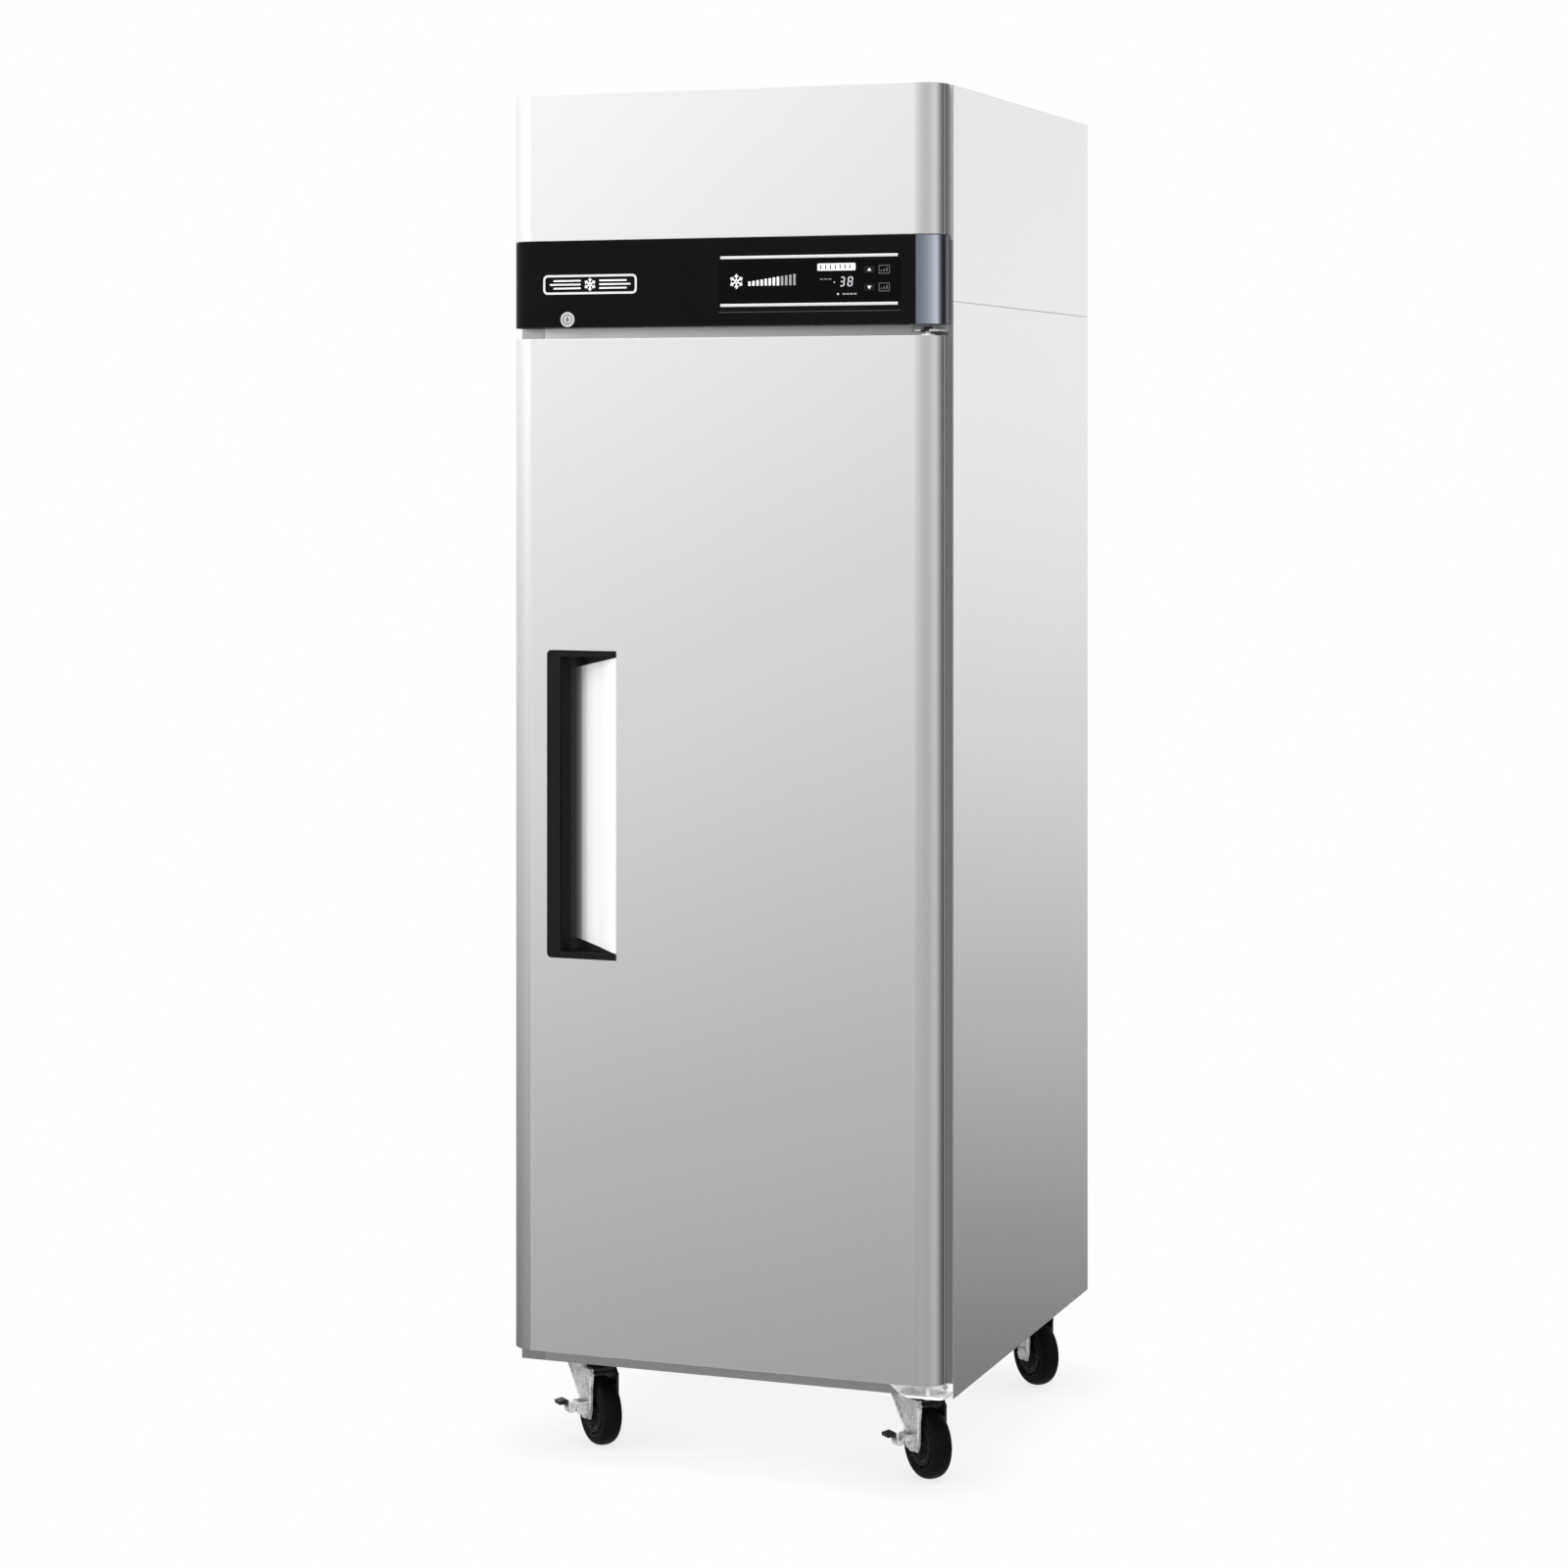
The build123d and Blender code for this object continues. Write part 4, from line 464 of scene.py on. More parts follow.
# =====================================================================
# mesh helpers (all coordinates in metres, row frame)
# =====================================================================
def add_mesh(name, verts, faces, mat, smooth=False):
    me = bpy.data.meshes.new(name)
    me.from_pydata([tuple(v) for v in verts], [], faces)
    me.validate()
    bm = bmesh.new()
    bm.from_mesh(me)
    bmesh.ops.recalc_face_normals(bm, faces=bm.faces)
    bm.to_mesh(me)
    bm.free()
    if smooth:
        for p in me.polygons:
            p.use_smooth = True
    ob = bpy.data.objects.new(name, me)
    bpy.context.scene.collection.objects.link(ob)
    me.materials.append(mat)
    return ob


def prism_xz(name, pts, y0, y1, mat, bevel=0.0, seg=2):
    """Outline in the XZ plane pushed from y0 to y1."""
    n = len(pts)
    vs = [(p[0], y0, p[1]) for p in pts] + [(p[0], y1, p[1]) for p in pts]
    fs = [list(range(n)), list(range(2 * n - 1, n - 1, -1))] + [[i, (i + 1) % n, (i + 1) % n + n, i + n] for i in range(n)]
    ob = add_mesh(name, vs, fs, mat)
    if bevel:
        bv = ob.modifiers.new("edge", "BEVEL")
        bv.width = bevel
        bv.segments = seg
        bv.limit_method = "ANGLE"
    return ob


def rounded_rect(x0, x1, z0, z1, r, n=6):
    pts = []
    for cx, cz, a0 in ((x1 - r, z0 + r, -90), (x1 - r, z1 - r, 0), (x0 + r, z1 - r, 90), (x0 + r, z0 + r, 180)):
        for i in range(n + 1):
            a = math.radians(a0 + 90 * i / n)
            pts.append((cx + r * math.cos(a), cz + r * math.sin(a)))
    return pts


def ring_xz(name, outer, inner, y0, y1, mat):
    """Frame between two outlines with the same number of points."""
    n = len(outer)
    vs = [(p[0], y0, p[1]) for p in outer] + [(p[0], y0, p[1]) for p in inner] + [(p[0], y1, p[1]) for p in outer] + [(p[0], y1, p[1]) for p in inner]
    fs = []
    for i in range(n):
        j = (i + 1) % n
        fs.append([i, j, n + j, n + i])
        fs.append([2 * n + i, 3 * n + i, 3 * n + j, 2 * n + j])
        fs.append([i, 2 * n + i, 2 * n + j, j])
        fs.append([n + i, n + j, 3 * n + j, 3 * n + i])
    return add_mesh(name, vs, fs, mat)


def tube(name, pts, r, mat, res=10, bend=True):
    cu = bpy.data.curves.new(name, "CURVE")
    cu.dimensions = "3D"
    cu.bevel_depth = r
    cu.bevel_resolution = 3
    cu.resolution_u = res
    sp = cu.splines.new("BEZIER" if bend else "POLY")
    if bend:
        sp.bezier_points.add(len(pts) - 1)
        for bp, p in zip(sp.bezier_points, pts):
            bp.co = p
            bp.handle_left_type = bp.handle_right_type = "AUTO"
    else:
        sp.points.add(len(pts) - 1)
        for pp, p in zip(sp.points, pts):
            pp.co = (*p, 1.0)
    cu.use_fill_caps = True
    ob = bpy.data.objects.new(name, cu)
    bpy.context.scene.collection.objects.link(ob)
    dg = bpy.context.evaluated_depsgraph_get()
    me = bpy.data.meshes.new_from_object(ob.evaluated_get(dg))
    bpy.data.objects.remove(ob)
    out = bpy.data.objects.new(name, me)
    bpy.context.scene.collection.objects.link(out)
    me.materials.clear()
    me.materials.append(mat)
    for p in me.polygons:
        p.use_smooth = True
        p.material_index = 0
    return out


def lathe(name, prof, origin, axis, mat, n=40):
    """prof is a list of (radius, distance along axis)."""
    axis = Vector(axis).normalized()
    q = Vector((0, 0, 1)).rotation_difference(axis)
    vs, fs = [], []
    for r, h in prof:
        for i in range(n):
            a = 2 * math.pi * i / n
            p = q @ Vector((r * math.cos(a), r * math.sin(a), h)) + Vector(origin)
            vs.append(p)
    for k in range(len(prof) - 1):
        for i in range(n):
            j = (i + 1) % n
            fs.append([k * n + i, k * n + j, (k + 1) * n + j, (k + 1) * n + i])
    return add_mesh(name, vs, fs, mat, True)


def smooth_by_angle(ob, deg=35):
    me = ob.data
    for p in me.polygons:
        p.use_smooth = True
    try:
        me.set_sharp_from_angle(angle=math.radians(deg))
    except AttributeError:
        pass


mmv = 0.001
FY = -0.3985            # face plane of the band
# =====================================================================
# control band: emblem, window graphics
# =====================================================================
silver_ink = plastic("silver_ink", (0.72, 0.73, 0.75), 0.35, 0.5, 700, 0.02)
white_ink = plastic("white_ink", (0.80, 0.81, 0.82), 0.4, 0.4, 700, 0.02, 0, 0.05)
grey_ink = plastic("grey_ink", (0.22, 0.225, 0.235), 0.4, 0.4, 700, 0.02)
led_white = emissive("led_white", (0.62, 0.64, 0.66), 0.05)
dim_ink = plastic("dim_ink", (0.070, 0.072, 0.076), 0.4, 0.3, 700, 0.02)

y_in, y_out = FY + 0.0002, FY - 0.0011
o = rounded_rect(-0.2740, -0.1270, 1.6985, 1.7270, 0.0070)
i_ = rounded_rect(-0.2708, -0.1302, 1.7017, 1.7238, 0.0042)
em = [ring_xz("emblem_frame", o, i_, y_out, y_in, M["bright_trim"])]
def frost(out, tag, cx, cz, r, t, y0, y1, mat):
    """Six-armed frost mark with one pair of twigs on each arm."""
    for k in range(6):
        a = math.radians(60 * k + 30)
        ca, sa = math.cos(a), math.sin(a)
        pts = [(cx - sa * t, cz + ca * t), (cx + sa * t, cz - ca * t), (cx + ca * r + sa * t, cz + sa * r - ca * t), (cx + ca * r - sa * t, cz + sa * r + ca * t)]
        out.append(prism_xz(f"{tag}_arm_{k}", pts, y0, y1, mat))
        for s in (-1, 1):
            b = a + s * math.radians(55)
            px, pz = cx + ca * r * 0.58, cz + sa * r * 0.58
            cb, sb = math.cos(b), math.sin(b)
            t2 = t * 0.8
            l = r * 0.34
            pts = [(px - sb * t2, pz + cb * t2), (px + sb * t2, pz - cb * t2), (px + cb * l + sb * t2, pz + sb * l - cb * t2), (px + cb * l - sb * t2, pz + sb * l + cb * t2)]
            out.append(prism_xz(f"{tag}_twig_{k}_{s + 1}", pts, y0 - 0.00003, y1, mat))


frost(em, "emblem_frost", -0.2005, 1.71275, 0.0092, 0.0009, y_out + 0.0004, y_in, white_ink)
for k in range(3):
    z = 1.7062 + k * 0.0055
    for tag, x0, x1 in (("l", -0.2640, -0.2150), ("r", -0.1860, -0.1370)):
        ins = 0.0060 * abs(k - 1)
        a0, a1 = (x0 + ins, x1) if tag == "l" else (x0, x1 - ins)
        em.append(prism_xz(f"emblem_bar_{tag}{k}", rounded_rect(a0, a1, z, z + 0.0022, 0.0010, 3), y_out + 0.0004, y_in, white_ink))
for p in em:
    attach(p, "cabinet")

WY = -0.3993            # face plane of the window
wy0, wy1 = WY - 0.00022, WY + 0.0001
gfx = []
# plain badge with dark slits
gfx.append(prism_xz("badge_plate", rounded_rect(0.1490, 0.2060, 1.7268, 1.7372, 0.0014), wy0, wy1, silver_ink))
for k in range(7):
    x = 0.1535 + k * 0.0072
    gfx.append(prism_xz(f"badge_slit_{k}", [(x, 1.7288), (x + 0.0016, 1.7288), (x + 0.0016, 1.7352), (x, 1.7352)], wy0 - 0.00008, wy0 + 0.00002, M["smoked_window"]))


def seven(ch, x, z, w, h, t, tag):
    segs = {"0": "abcdef", "1": "bc", "2": "abged", "3": "abgcd", "4": "fgbc", "5": "afgcd", "6": "afgedc", "7": "abc", "8": "abcdefg", "9": "abcdfg"}[ch]
    sl = 0.10
    box = {"a": (t, w - t, h - t, h), "g": (t, w - t, h / 2 - t / 2, h / 2 + t / 2), "d": (t, w - t, 0, t),
           "b": (w - t, w, h / 2 + t * 0.3, h - t * 0.6), "c": (w - t, w, t * 0.6, h / 2 - t * 0.3),
           "f": (0, t, h / 2 + t * 0.3, h - t * 0.6), "e": (0, t, t * 0.6, h / 2 - t * 0.3)}
    for s in segs:
        x0, x1, z0, z1 = box[s]
        pts = [(x + x0 + sl * z0, z + z0), (x + x1 + sl * z0, z + z0), (x + x1 + sl * z1, z + z1), (x + x0 + sl * z1, z + z1)]
        gfx.append(prism_xz(f"digit_{tag}_{s}", pts, wy0, wy1, led_white))


seven("3", 0.1815, 1.7040, 0.0078, 0.0142, 0.0019, "a")
seven("8", 0.1935, 1.7040, 0.0078, 0.0142, 0.0019, "b")
gfx.append(prism_xz("digit_dot", rounded_rect(0.1735, 0.1755, 1.7092, 1.7112, 0.0009), wy0, wy1, led_white))
for k, (x, z, w) in enumerate(((0.1530, 1.7142, 0.0045), (0.1592, 1.7142, 0.0045), (0.1654, 1.7142, 0.0045))):
    gfx.append(prism_xz(f"dash_{k}", [(x, z), (x + w, z), (x + w, z + 0.0014), (x, z + 0.0014)], wy0, wy1, grey_ink))
gfx.append(prism_xz("lamp_run", rounded_rect(0.1785, 0.1815, 1.6920, 1.6950, 0.0014), wy0, wy1, led_white))
for k in range(4):
    x = 0.1868 + k * 0.0056
    gfx.append(prism_xz(f"legend_{k}", [(x, 1.6924), (x + 0.0040, 1.6924), (x + 0.0040, 1.6946), (x, 1.6946)], wy0, wy1, grey_ink))
for tag, z in (("up", 1.7275), ("down", 1.7025)):
    o = rounded_rect(0.2405, 0.2570, z - 0.0062, z + 0.0062, 0.0016, 3)
    i_ = rounded_rect(0.2417, 0.2558, z - 0.0050, z + 0.0050, 0.0008, 3)
    gfx.append(ring_xz(f"mark_{tag}_frame", o, i_, wy0, wy1, dim_ink))
    for k in range(3):
        gfx.append(prism_xz(f"mark_{tag}_{k}", [(0.2436 + k * 0.0040, z - 0.0030), (0.2458 + k * 0.0040, z - 0.0030), (0.2458 + k * 0.0040, z - 0.0008 + k * 0.0016), (0.2436 + k * 0.0040, z - 0.0008 + k * 0.0016)], wy0, wy1, dim_ink))
# plain six-armed frost mark and a row of level ticks
frost(gfx, "frost", 0.0265, 1.7135, 0.0105, 0.0009, wy0, wy1, white_ink)
for k in range(12):
    x = 0.0445 + k * 0.0062
    h = 0.0060 + 0.0009 * k
    gfx.append(prism_xz(f"level_tick_{k}", [(x, 1.7070), (x + 0.0036, 1.7070), (x + 0.0036, 1.7070 + h), (x, 1.7070 + h)], wy0, wy1, white_ink if k < 8 else grey_ink))
for p in gfx:
    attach(p, "cabinet")
for body, z, s in (("key_up", 1.7275, 1), ("key_down", 1.7025, -1)):
    pts = [(0.2267 - 0.0030, z - s * 0.0018), (0.2267 + 0.0030, z - s * 0.0018), (0.2267, z + s * 0.0026)]
    p = prism_xz(f"arrow_{body}", pts, -0.39990 - 0.00015, -0.39985, white_ink)
    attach(p, body)

# thin shadow groove round the window and one step line under it
grv = plastic("groove_black", (0.001, 0.001, 0.001), 0.6, 0.1)
o = rounded_rect(-0.0022, 0.2729, 1.6824, 1.7449, 0.0042)
i_ = rounded_rect(-0.0010, 0.2717, 1.6836, 1.7437, 0.0030)
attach(ring_xz("window_joint", o, i_, FY - 0.00008, FY + 0.0001, grv), "cabinet")
step = plastic("band_step", (0.035, 0.036, 0.040), 0.35, 0.4)
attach(prism_xz("band_step_line", [(-0.001, 1.6690), (0.2715, 1.6690), (0.2715, 1.6700), (-0.001, 1.6700)], FY - 0.0003, FY + 0.0001, step), "cabinet")

# =====================================================================
# machine compartment dressing
# =====================================================================
sleeve = rubber("pipe_sleeve", (0.010, 0.010, 0.011), 0.8, 0.2)
wire_w = plastic("wire_white", (0.55, 0.55, 0.53), 0.45, 0.4)
wire_b = plastic("wire_black", (0.012, 0.012, 0.012), 0.45, 0.4)
wire_g = plastic("wire_green", (0.03, 0.18, 0.06), 0.45, 0.4)
label_m = plastic("blank_label", (0.72, 0.72, 0.70), 0.5, 0.3)
label_i = plastic("label_ink", (0.12, 0.12, 0.12), 0.6, 0.2)
DZ = 1.6502
kx, ky = 0.150, 0.095
parts = [
    tube("suction_sleeve", [(kx + 0.010, ky + 0.020, 1.866), (-0.010, ky + 0.020, 1.866)], 0.0125, sleeve, 4, False),
    tube("suction_sleeve_drop", [(-0.175, 0.150, 1.785), (-0.175, 0.150, 1.655)], 0.0125, sleeve, 4, False),
    tube("harness_compressor", [(kx - 0.100, ky - 0.030, 1.735), (0.040, 0.030, 1.690), (0.060, -0.120, 1.660), (0.170, -0.190, 1.665), (0.200, -0.2150, 1.700)], 0.0038, wire_b),
    tube("harness_fan", [(-0.095, -0.152, 1.815), (-0.040, -0.130, 1.760), (0.070, -0.150, 1.700), (0.140, -0.190, 1.685), (0.160, -0.2150, 1.710)], 0.0028, wire_w),
    tube("harness_display", [(0.150, -0.362, 1.712), (0.160, -0.340, 1.725), (0.170, -0.320, 1.740), (0.180, -0.3070, 1.720)], 0.0030, wire_g),
    tube("drain_tube", [(-0.036, 0.372, 1.672), (-0.120, 0.350, 1.662), (-0.200, 0.290, 1.657), (-0.235, 0.200, 1.656)], 0.0062, wire_w),
]
# compressor name plate, left blank, and rubber grommets
plate = []
for i in range(9):
    a = math.radians(-62 + i * 7)
    for z in (1.700, 1.728):
        plate.append((kx + 0.0928 * math.cos(a), ky + 0.0748 * math.sin(a), z))
parts.append(add_mesh("compressor_plate", plate, [[2 * i, 2 * i + 2, 2 * i + 3, 2 * i + 1] for i in range(8)], label_m, True))
for sx in (-0.092, 0.092):
    for sy in (-0.062, 0.062):
        parts.append(lathe(f"grommet_{'l' if sx < 0 else 'r'}{'f' if sy < 0 else 'b'}", [(0.0, 0.022), (0.006, 0.022), (0.0065, 0.0185), (0.012, 0.0185), (0.013, 0.0165), (0.012, 0.0145), (0.0, 0.0145)], (kx + sx, ky + sy, DZ), (0, 0, 1), sleeve, 24))
for k, (px, py) in enumerate(((-0.215, 0.150), (-0.175, 0.150))):
    parts.append(lathe(f"deck_grommet_{k}", [(0.0070 if k else 0.0035, 0.006), (0.013, 0.006), (0.0165, 0.0035), (0.0165, 0.0), (0.011, 0.0)], (px, py, DZ), (0, 0, 1), sleeve, 32))
# cover lines and screws on the electrical box
parts.append(prism_xz("box_lid_line", [(0.124, 1.700), (0.288, 1.700), (0.288, 1.7012), (0.124, 1.7012)], -0.2150, -0.2143, grv))
for k, (x, z) in enumerate(((0.130, 1.662), (0.282, 1.662), (0.130, 1.742), (0.282, 1.742))):
    parts.append(lathe(f"box_screw_{k}", [(0.0, 0.0018), (0.0026, 0.0016), (0.0038, 0.0)], (x, -0.2150, z), (0, 1, 0), M["screw_steel"], 20))
# hot parts label on the box, left blank with a few rule lines
parts.append(add_mesh("box_label", [(0.160, -0.270, 1.7522), (0.240, -0.270, 1.7522), (0.240, -0.235, 1.7522), (0.160, -0.235, 1.7522)], [[0, 1, 2, 3]], label_m))
for k in range(4):
    y0 = -0.264 + k * 0.0072
    parts.append(add_mesh(f"box_label_rule_{k}", [(0.166, y0, 1.75235), (0.232 - 0.01 * (k % 2), y0, 1.75235), (0.232 - 0.01 * (k % 2), y0 + 0.0018, 1.75235), (0.166, y0 + 0.0018, 1.75235)], [[0, 1, 2, 3]], label_i))
# blank rating plate on the rear
parts.append(prism_xz("rating_plate", rounded_rect(-0.250, -0.160, 1.580, 1.630, 0.003), 0.3980, 0.3984, label_m))
for k in range(5):
    z = 1.622 - k * 0.0085
    parts.append(prism_xz(f"rating_rule_{k}", [(-0.243, z - 0.0018), (-0.172 - 0.012 * (k % 2), z - 0.0018), (-0.172 - 0.012 * (k % 2), z), (-0.243, z)], 0.3984, 0.39855, label_i))
for p in parts:
    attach(p, "cabinet")

# =====================================================================
# inside the food compartment
# =====================================================================
inner = []
# drain cup in the floor and a return-air thermometer bulb on its lead under the cover
inner.append(lathe("floor_drain", [(0.0, 0.0008), (0.004, 0.0010), (0.0060, 0.0022), (0.0125, 0.0024), (0.0140, 0.0002)], (0, 0, 0.197), (0, 0, 1), M["zinc"], 32))
inner.append(tube("temperature_probe", [(-0.228, 0.060, 1.424), (-0.228, 0.060, 1.412), (-0.228, 0.075, 1.404), (-0.228, 0.110, 1.404)], 0.0028, wire_b))
inner.append(lathe("probe_tip", [(0.0, 0.030), (0.0030, 0.028), (0.0034, 0.0), (0.0, 0.0)], (-0.228, 0.108, 1.404), (0, 1, 0), M["zinc"], 20))
for p in inner:
    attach(p, "cabinet")

# magnet strip seam on the gasket corners
dz0, dz1 = 0.166, 1.620
seam_m = rubber("gasket_seam", (0.07, 0.07, 0.075), 0.6)
for k, (cx_, cz_) in enumerate(((-0.294, 0.178), (0.294, 0.178), (-0.294, 1.608), (0.294, 1.608))):
    sx = 1 if cx_ > 0 else -1
    sz = 1 if cz_ > 0.9 else -1
    a = (cx_ - sx * 0.0125, cz_ - sz * 0.0125)
    b = (cx_ + sx * 0.0095, cz_ + sz * 0.0095)
    t = 0.0004
    ob = add_mesh(f"gasket_mitre_{k}", [(a[0] - t, -0.34215, a[1] + t * sx * sz), (a[0] + t, -0.34215, a[1] - t * sx * sz), (b[0] + t, -0.34215, b[1] - t * sx * sz), (b[0] - t, -0.34215, b[1] + t * sx * sz)], [[0, 1, 2, 3]], seam_m)
    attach(ob, "door")

# =====================================================================
# caster dressing: ball race rings, hub caps, moulded spokes
# =====================================================================
A = math.radians(47)
ca, sa = math.cos(A), math.sin(A)
for tag, cx_, cy_ in (("front_left", -0.253, -0.274), ("front_right", 0.253, -0.274), ("rear_left", -0.253, 0.300), ("rear_right", 0.253, 0.300)):
    def at(x, y, z):
        return (cx_ + x * ca - y * sa, cy_ + x * sa + y * ca, z)
    race = lathe(f"race_ring_{tag}", [(0.0255, 0.0003), (0.0305, 0.0002), (0.0317, 0.0012), (0.0317, 0.0042), (0.0305, 0.0052)], (cx_, cy_, 0.1183), (0, 0, 1), M["zinc"], 44)
    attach(race, "cabinet")
    ax = Vector((ca, sa, 0))
    c = Vector(at(0, -0.040, 0.0508))
    for s in (-1, 1):
        hub = lathe(f"hub_ring_{tag}_{'a' if s < 0 else 'b'}", [(0.0172, 0.0), (0.0172, 0.0006), (0.0300, 0.0030), (0.0316, 0.0020), (0.0316, 0.0)], c + ax * s * 0.0118, ax * s, M["black_satin"], 48)
        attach(hub, f"wheel_{tag}")
    # moulded spokes on the wheel discs
    for s in (-1, 1):
        vs, fs = [], []
        for k in range(8):
            a = 2 * math.pi * k / 8
            u = Vector((-sa * math.cos(a), ca * math.cos(a), math.sin(a)))
            w = Vector((sa * math.sin(a), -ca * math.sin(a), math.cos(a)))
            base = len(vs)
            for rr in (0.0165, 0.0345):
                for ww in (-0.0016, 0.0016):
                    for hh in (0.0100, 0.0146):
                        vs.append(c + u * rr + w * ww + ax * s * hh)
            fs += [[base + q for q in f] for f in ((0, 1, 3, 2), (4, 6, 7, 5), (0, 4, 5, 1), (2, 3, 7, 6), (1, 5, 7, 3), (0, 2, 6, 4))]
        sp = add_mesh(f"spokes_{tag}_{'a' if s < 0 else 'b'}", vs, fs, M["black_satin"])
        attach(sp, f"wheel_{tag}")

# =====================================================================
# stage: floor, world, lights, camera
# =====================================================================
def floor():
    s = 14.0
    fl = add_mesh("stage_floor", [(-s, -s, 0), (s, -s, 0), (s, s, 0), (-s, s, 0)], [[0, 1, 2, 3]], bpy.data.materials.new("floor_paper"))
    m = fl.data.materials[0]
    m.use_nodes = True
    t = m.node_tree
    t.nodes.clear()
    out = t.nodes.new("ShaderNodeOutputMaterial")
    em = t.nodes.new("ShaderNodeEmission")
    # painted shadow: ambient occlusion darkens the white floor into a soft contact shadow
    ao = t.nodes.new("ShaderNodeAmbientOcclusion")
    ao.inputs["Distance"].default_value = 0.16
    ao.samples = 8
    rp = t.nodes.new("ShaderNodeValToRGB")
    rp.color_ramp.elements[0].position = 0.25
    rp.color_ramp.elements[0].color = (0.80, 0.80, 0.80, 1)
    rp.color_ramp.elements[1].position = 0.97
    rp.color_ramp.elements[1].color = (1, 1, 1, 1)
    t.links.new(ao.outputs["AO"], rp.inputs[0])
    t.links.new(rp.outputs[0], em.inputs[0])
    em.inputs[1].default_value = 1.0
    t.links.new(em.outputs[0], out.inputs[0])
    for k in ("visible_diffuse", "visible_glossy", "visible_transmission", "visible_shadow"):
        setattr(fl, k, False)
    return fl


floor()

w = bpy.data.worlds.new("studio")
bpy.context.scene.world = w
w.use_nodes = True
t = w.node_tree
t.nodes.clear()
out = t.nodes.new("ShaderNodeOutputWorld")
bg = t.nodes.new("ShaderNodeBackground")
t.links.new(bg.outputs[0], out.inputs[0])
tc = t.nodes.new("ShaderNodeTexCoord")
sx = t.nodes.new("ShaderNodeSeparateXYZ")
t.links.new(tc.outputs["Generated"], sx.inputs[0])


def wm(op, a, b=None, clamp=False):
    nd = t.nodes.new("ShaderNodeMath")
    nd.operation = op
    nd.use_clamp = clamp
    for i, v in enumerate((a, b)):
        if v is None:
            continue
        if isinstance(v, (int, float)):
            nd.inputs[i].default_value = v
        else:
            t.links.new(v, nd.inputs[i])
    return nd.outputs[0]


def wramp(fac, stops):
    r = t.nodes.new("ShaderNodeValToRGB")
    el = r.color_ramp.elements
    while len(el) < len(stops):
        el.new(0.5)
    for e, (p, c) in zip(el, stops):
        e.position = p
        e.color = (c, c, c, 1)
    t.links.new(fac, r.inputs[0])
    return r.outputs[0]


dx, dy, dz = sx.outputs
# height factor 0..1 for direction z from -0.6 to +0.6
hf = wm("ADD", wm("MULTIPLY", dz, 1 / 1.2), 0.5, True)


def hz(z):
    return z / 1.2 + 0.5


FRONT_RAMP = [(0.0, 0.56), (hz(-0.45), 0.38), (hz(-0.36), 0.22), (hz(-0.30), 0.19), (hz(-0.235), 0.245), (hz(-0.12), 0.68), (hz(0.03), 1.02), (hz(0.12), 1.16), (1.0, 1.25)]
CURVE_RAMP = [(0.0, 0.56), (hz(-0.45), 0.40), (hz(-0.34), 0.31), (hz(-0.235), 0.36), (hz(-0.168), 0.47), (hz(-0.04), 0.56), (hz(0.077), 0.62), (1.0, 0.75)]
SIDE_RAMP = [(0.0, 0.56), (hz(-0.45), 0.38), (hz(-0.36), 0.20), (hz(-0.29), 0.12), (hz(-0.237), 0.16), (hz(-0.206), 0.33), (hz(-0.16), 0.50), (hz(-0.113), 0.68), (hz(-0.066), 0.86), (hz(-0.019), 0.99), (hz(0.03), 1.05), (hz(0.077), 0.99), (1.0, 1.05)]
front_v = wramp(hf, FRONT_RAMP)
curve_v = wramp(hf, CURVE_RAMP)
side_v = wramp(hf, SIDE_RAMP)
# azimuth 0 at -Y, +90 at +X, in degrees/360 + 0.5
az = wm("ARCTAN2", dx, wm("MULTIPLY", dy, -1.0))
af = wm("ADD", wm("MULTIPLY", az, 1 / (2 * math.pi)), 0.5, True)


def ha(deg):
    return deg / 360.0 + 0.5


def wmix(fac, a, b, blend="MIX"):
    n = t.nodes.new("ShaderNodeMix")
    n.data_type = "RGBA"
    n.blend_type = blend
    for sock, v in ((n.inputs[0], fac), (n.inputs[6], a), (n.inputs[7], b)):
        if isinstance(v, (int, float)):
            sock.default_value = v if sock.type == "VALUE" else (v, v, v, 1.0)
        else:
            t.links.new(v, sock)
    return n.outputs[2]


slope = wramp(af, [(0.0, 1.0), (ha(-100), 1.05), (ha(-60), 1.25), (ha(-45), 1.36), (ha(-35), 1.38), (ha(-22.6), 1.085), (ha(-18.3), 0.935), (ha(-11), 0.83), (ha(5), 0.80), (ha(40), 0.80), (1.0, 1.0)])
shape = wramp(af, [(0.0, 1.0), (ha(-5), 1.12), (ha(20), 1.0), (ha(40), 0.95), (ha(55), 1.08), (ha(68), 1.28), (ha(86), 1.20), (ha(98), 0.5), (1.0, 0.5)])
w_curve = wramp(af, [(0.0, 0.0), (ha(-16), 0.0), (ha(10), 1.0), (ha(110), 1.0), (1.0, 1.0)])
side_w = wramp(af, [(0.0, 1.0), (ha(-140), 1.0), (ha(-110), 0.0), (ha(100), 0.0), (ha(140), 1.0), (1.0, 1.0)])
dark = wramp(af, [(0.0, 1.0), (ha(103), 1.0), (ha(115), 0.18), (ha(122), 0.09), (ha(134), 0.08), (ha(146), 1.0), (1.0, 1.0)])
env = wmix(w_curve, wmix(1.0, front_v, slope, "MULTIPLY"), wmix(1.0, curve_v, shape, "MULTIPLY"))
env = wmix(side_w, env, side_v)
low = wramp(hf, [(0.0, 1.0), (hz(-0.34), 1.0), (hz(-0.26), 0.0), (1.0, 0.0)])
env = wmix(1.0, env, wmix(low, dark, 1.0), "MULTIPLY")
lp = t.nodes.new("ShaderNodeLightPath")
cammix = t.nodes.new("ShaderNodeMix")
cammix.data_type = "RGBA"
t.links.new(lp.outputs["Is Camera Ray"], cammix.inputs[0])
t.links.new(env, cammix.inputs[6])
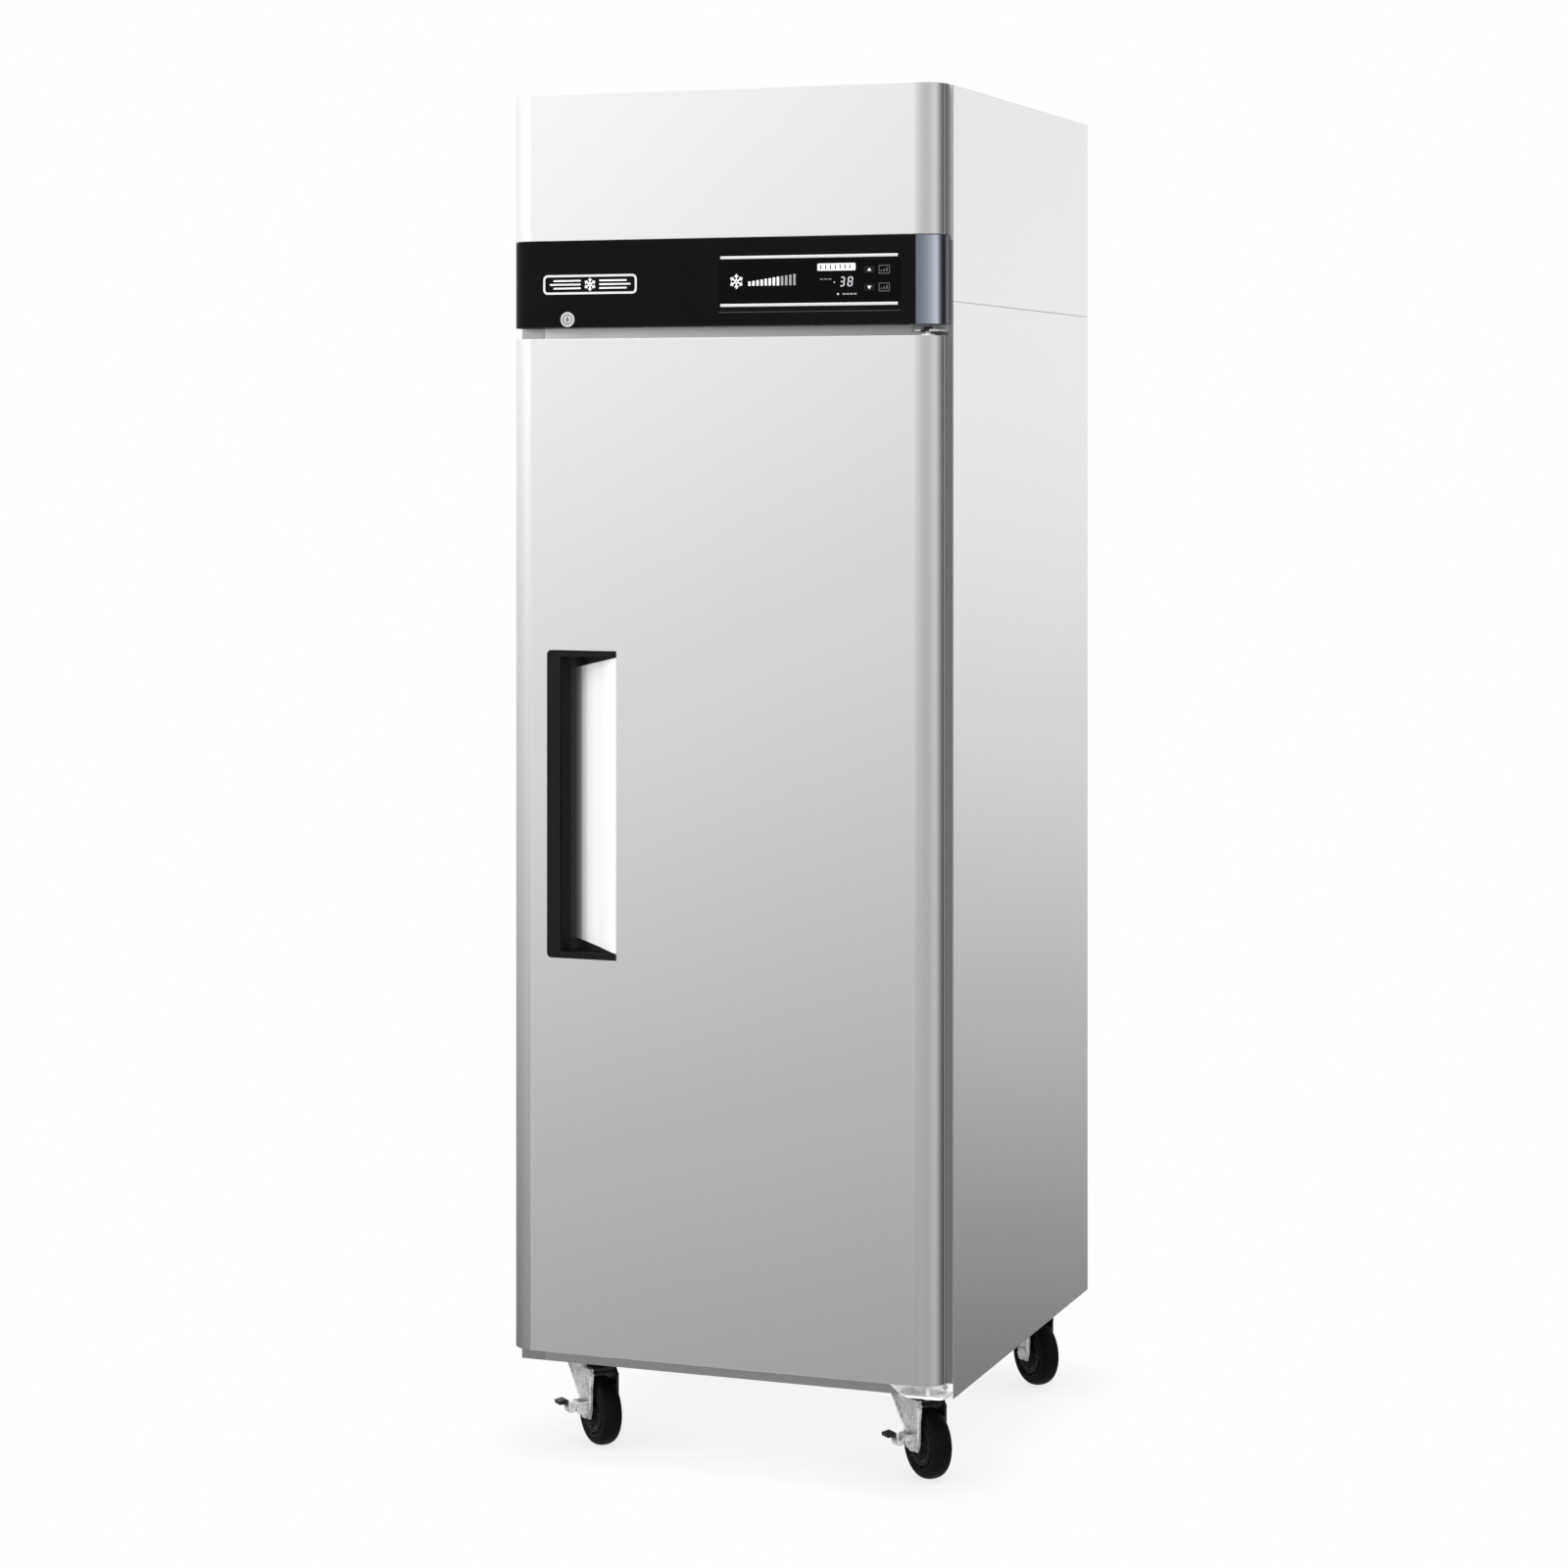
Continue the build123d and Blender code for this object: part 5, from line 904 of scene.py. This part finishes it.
cammix.inputs[7].default_value = (1, 1, 1, 1)
t.links.new(cammix.outputs[2], bg.inputs[0])
bg.inputs[1].default_value = 1.0


def area(name, loc, target, size, power, glossy=False, color=(1, 1, 1)):
    d = bpy.data.lights.new(name, "AREA")
    d.shape = "RECTANGLE"
    d.size, d.size_y = size
    d.energy = power
    d.color = color
    ob = bpy.data.objects.new(name, d)
    bpy.context.scene.collection.objects.link(ob)
    ob.location = loc
    ob.rotation_euler = (Vector(target) - Vector(loc)).to_track_quat("-Z", "Y").to_euler()
    ob.visible_glossy = glossy
    ob.visible_camera = False
    return ob


area("soft_top", (0.5, -2.2, 4.2), (0, 0, 1.2), (3.0, 3.0), 90)
area("soft_left", (-3.4, -3.0, 2.2), (0, 0, 0.9), (1.6, 2.6), 45)
area("low_front", (1.6, -3.2, 0.35), (0.0, -0.2, 0.12), (2.2, 0.7), 30)
area("front_right", (2.2, -4.2, 1.5), (-0.1, 0, 1.0), (1.6, 2.0), 70)

# camera at the catalogue angle: level, standing to the right of the door
f_px, x0_px, yh_px, yaw = 3845.1, 684.7, 447.4, math.radians(21.13)
cam = bpy.data.cameras.new("camera")
cam.sensor_fit = "HORIZONTAL"
cam.sensor_width = 36.0
cam.lens = f_px / 1600 * 36.0
cam.shift_x = (800 - x0_px) / 1600
cam.shift_y = (yh_px - 800) / 1600
cam.clip_end = 60
co = bpy.data.objects.new("camera", cam)
bpy.context.scene.collection.objects.link(co)
co.location = (1.8850, -5.4682, 1.4887)
co.rotation_euler = (math.radians(90), 0, yaw)
bpy.context.scene.camera = co
# the lens shift holds at the catalogue position only; from anywhere else the lens is centred
for attr in ("shift_x", "shift_y"):
    held = getattr(cam, attr)
    fc = cam.driver_add(attr)
    fc.driver.type = "SUM"
    var = fc.driver.variables.new()
    var.name = "x"
    var.type = "TRANSFORMS"
    var.targets[0].id = co
    var.targets[0].transform_type = "LOC_X"
    var.targets[0].transform_space = "WORLD_SPACE"
    while fc.modifiers:
        fc.modifiers.remove(fc.modifiers[0])
    for k, (px, pv) in enumerate(((1.85, 0.0), (1.87, held), (1.90, held), (1.92, 0.0))):
        kp = fc.keyframe_points.insert(px, pv)
        kp.interpolation = "LINEAR"
    fc.extrapolation = "CONSTANT"
bpy.context.scene.view_settings.view_transform = "Standard"
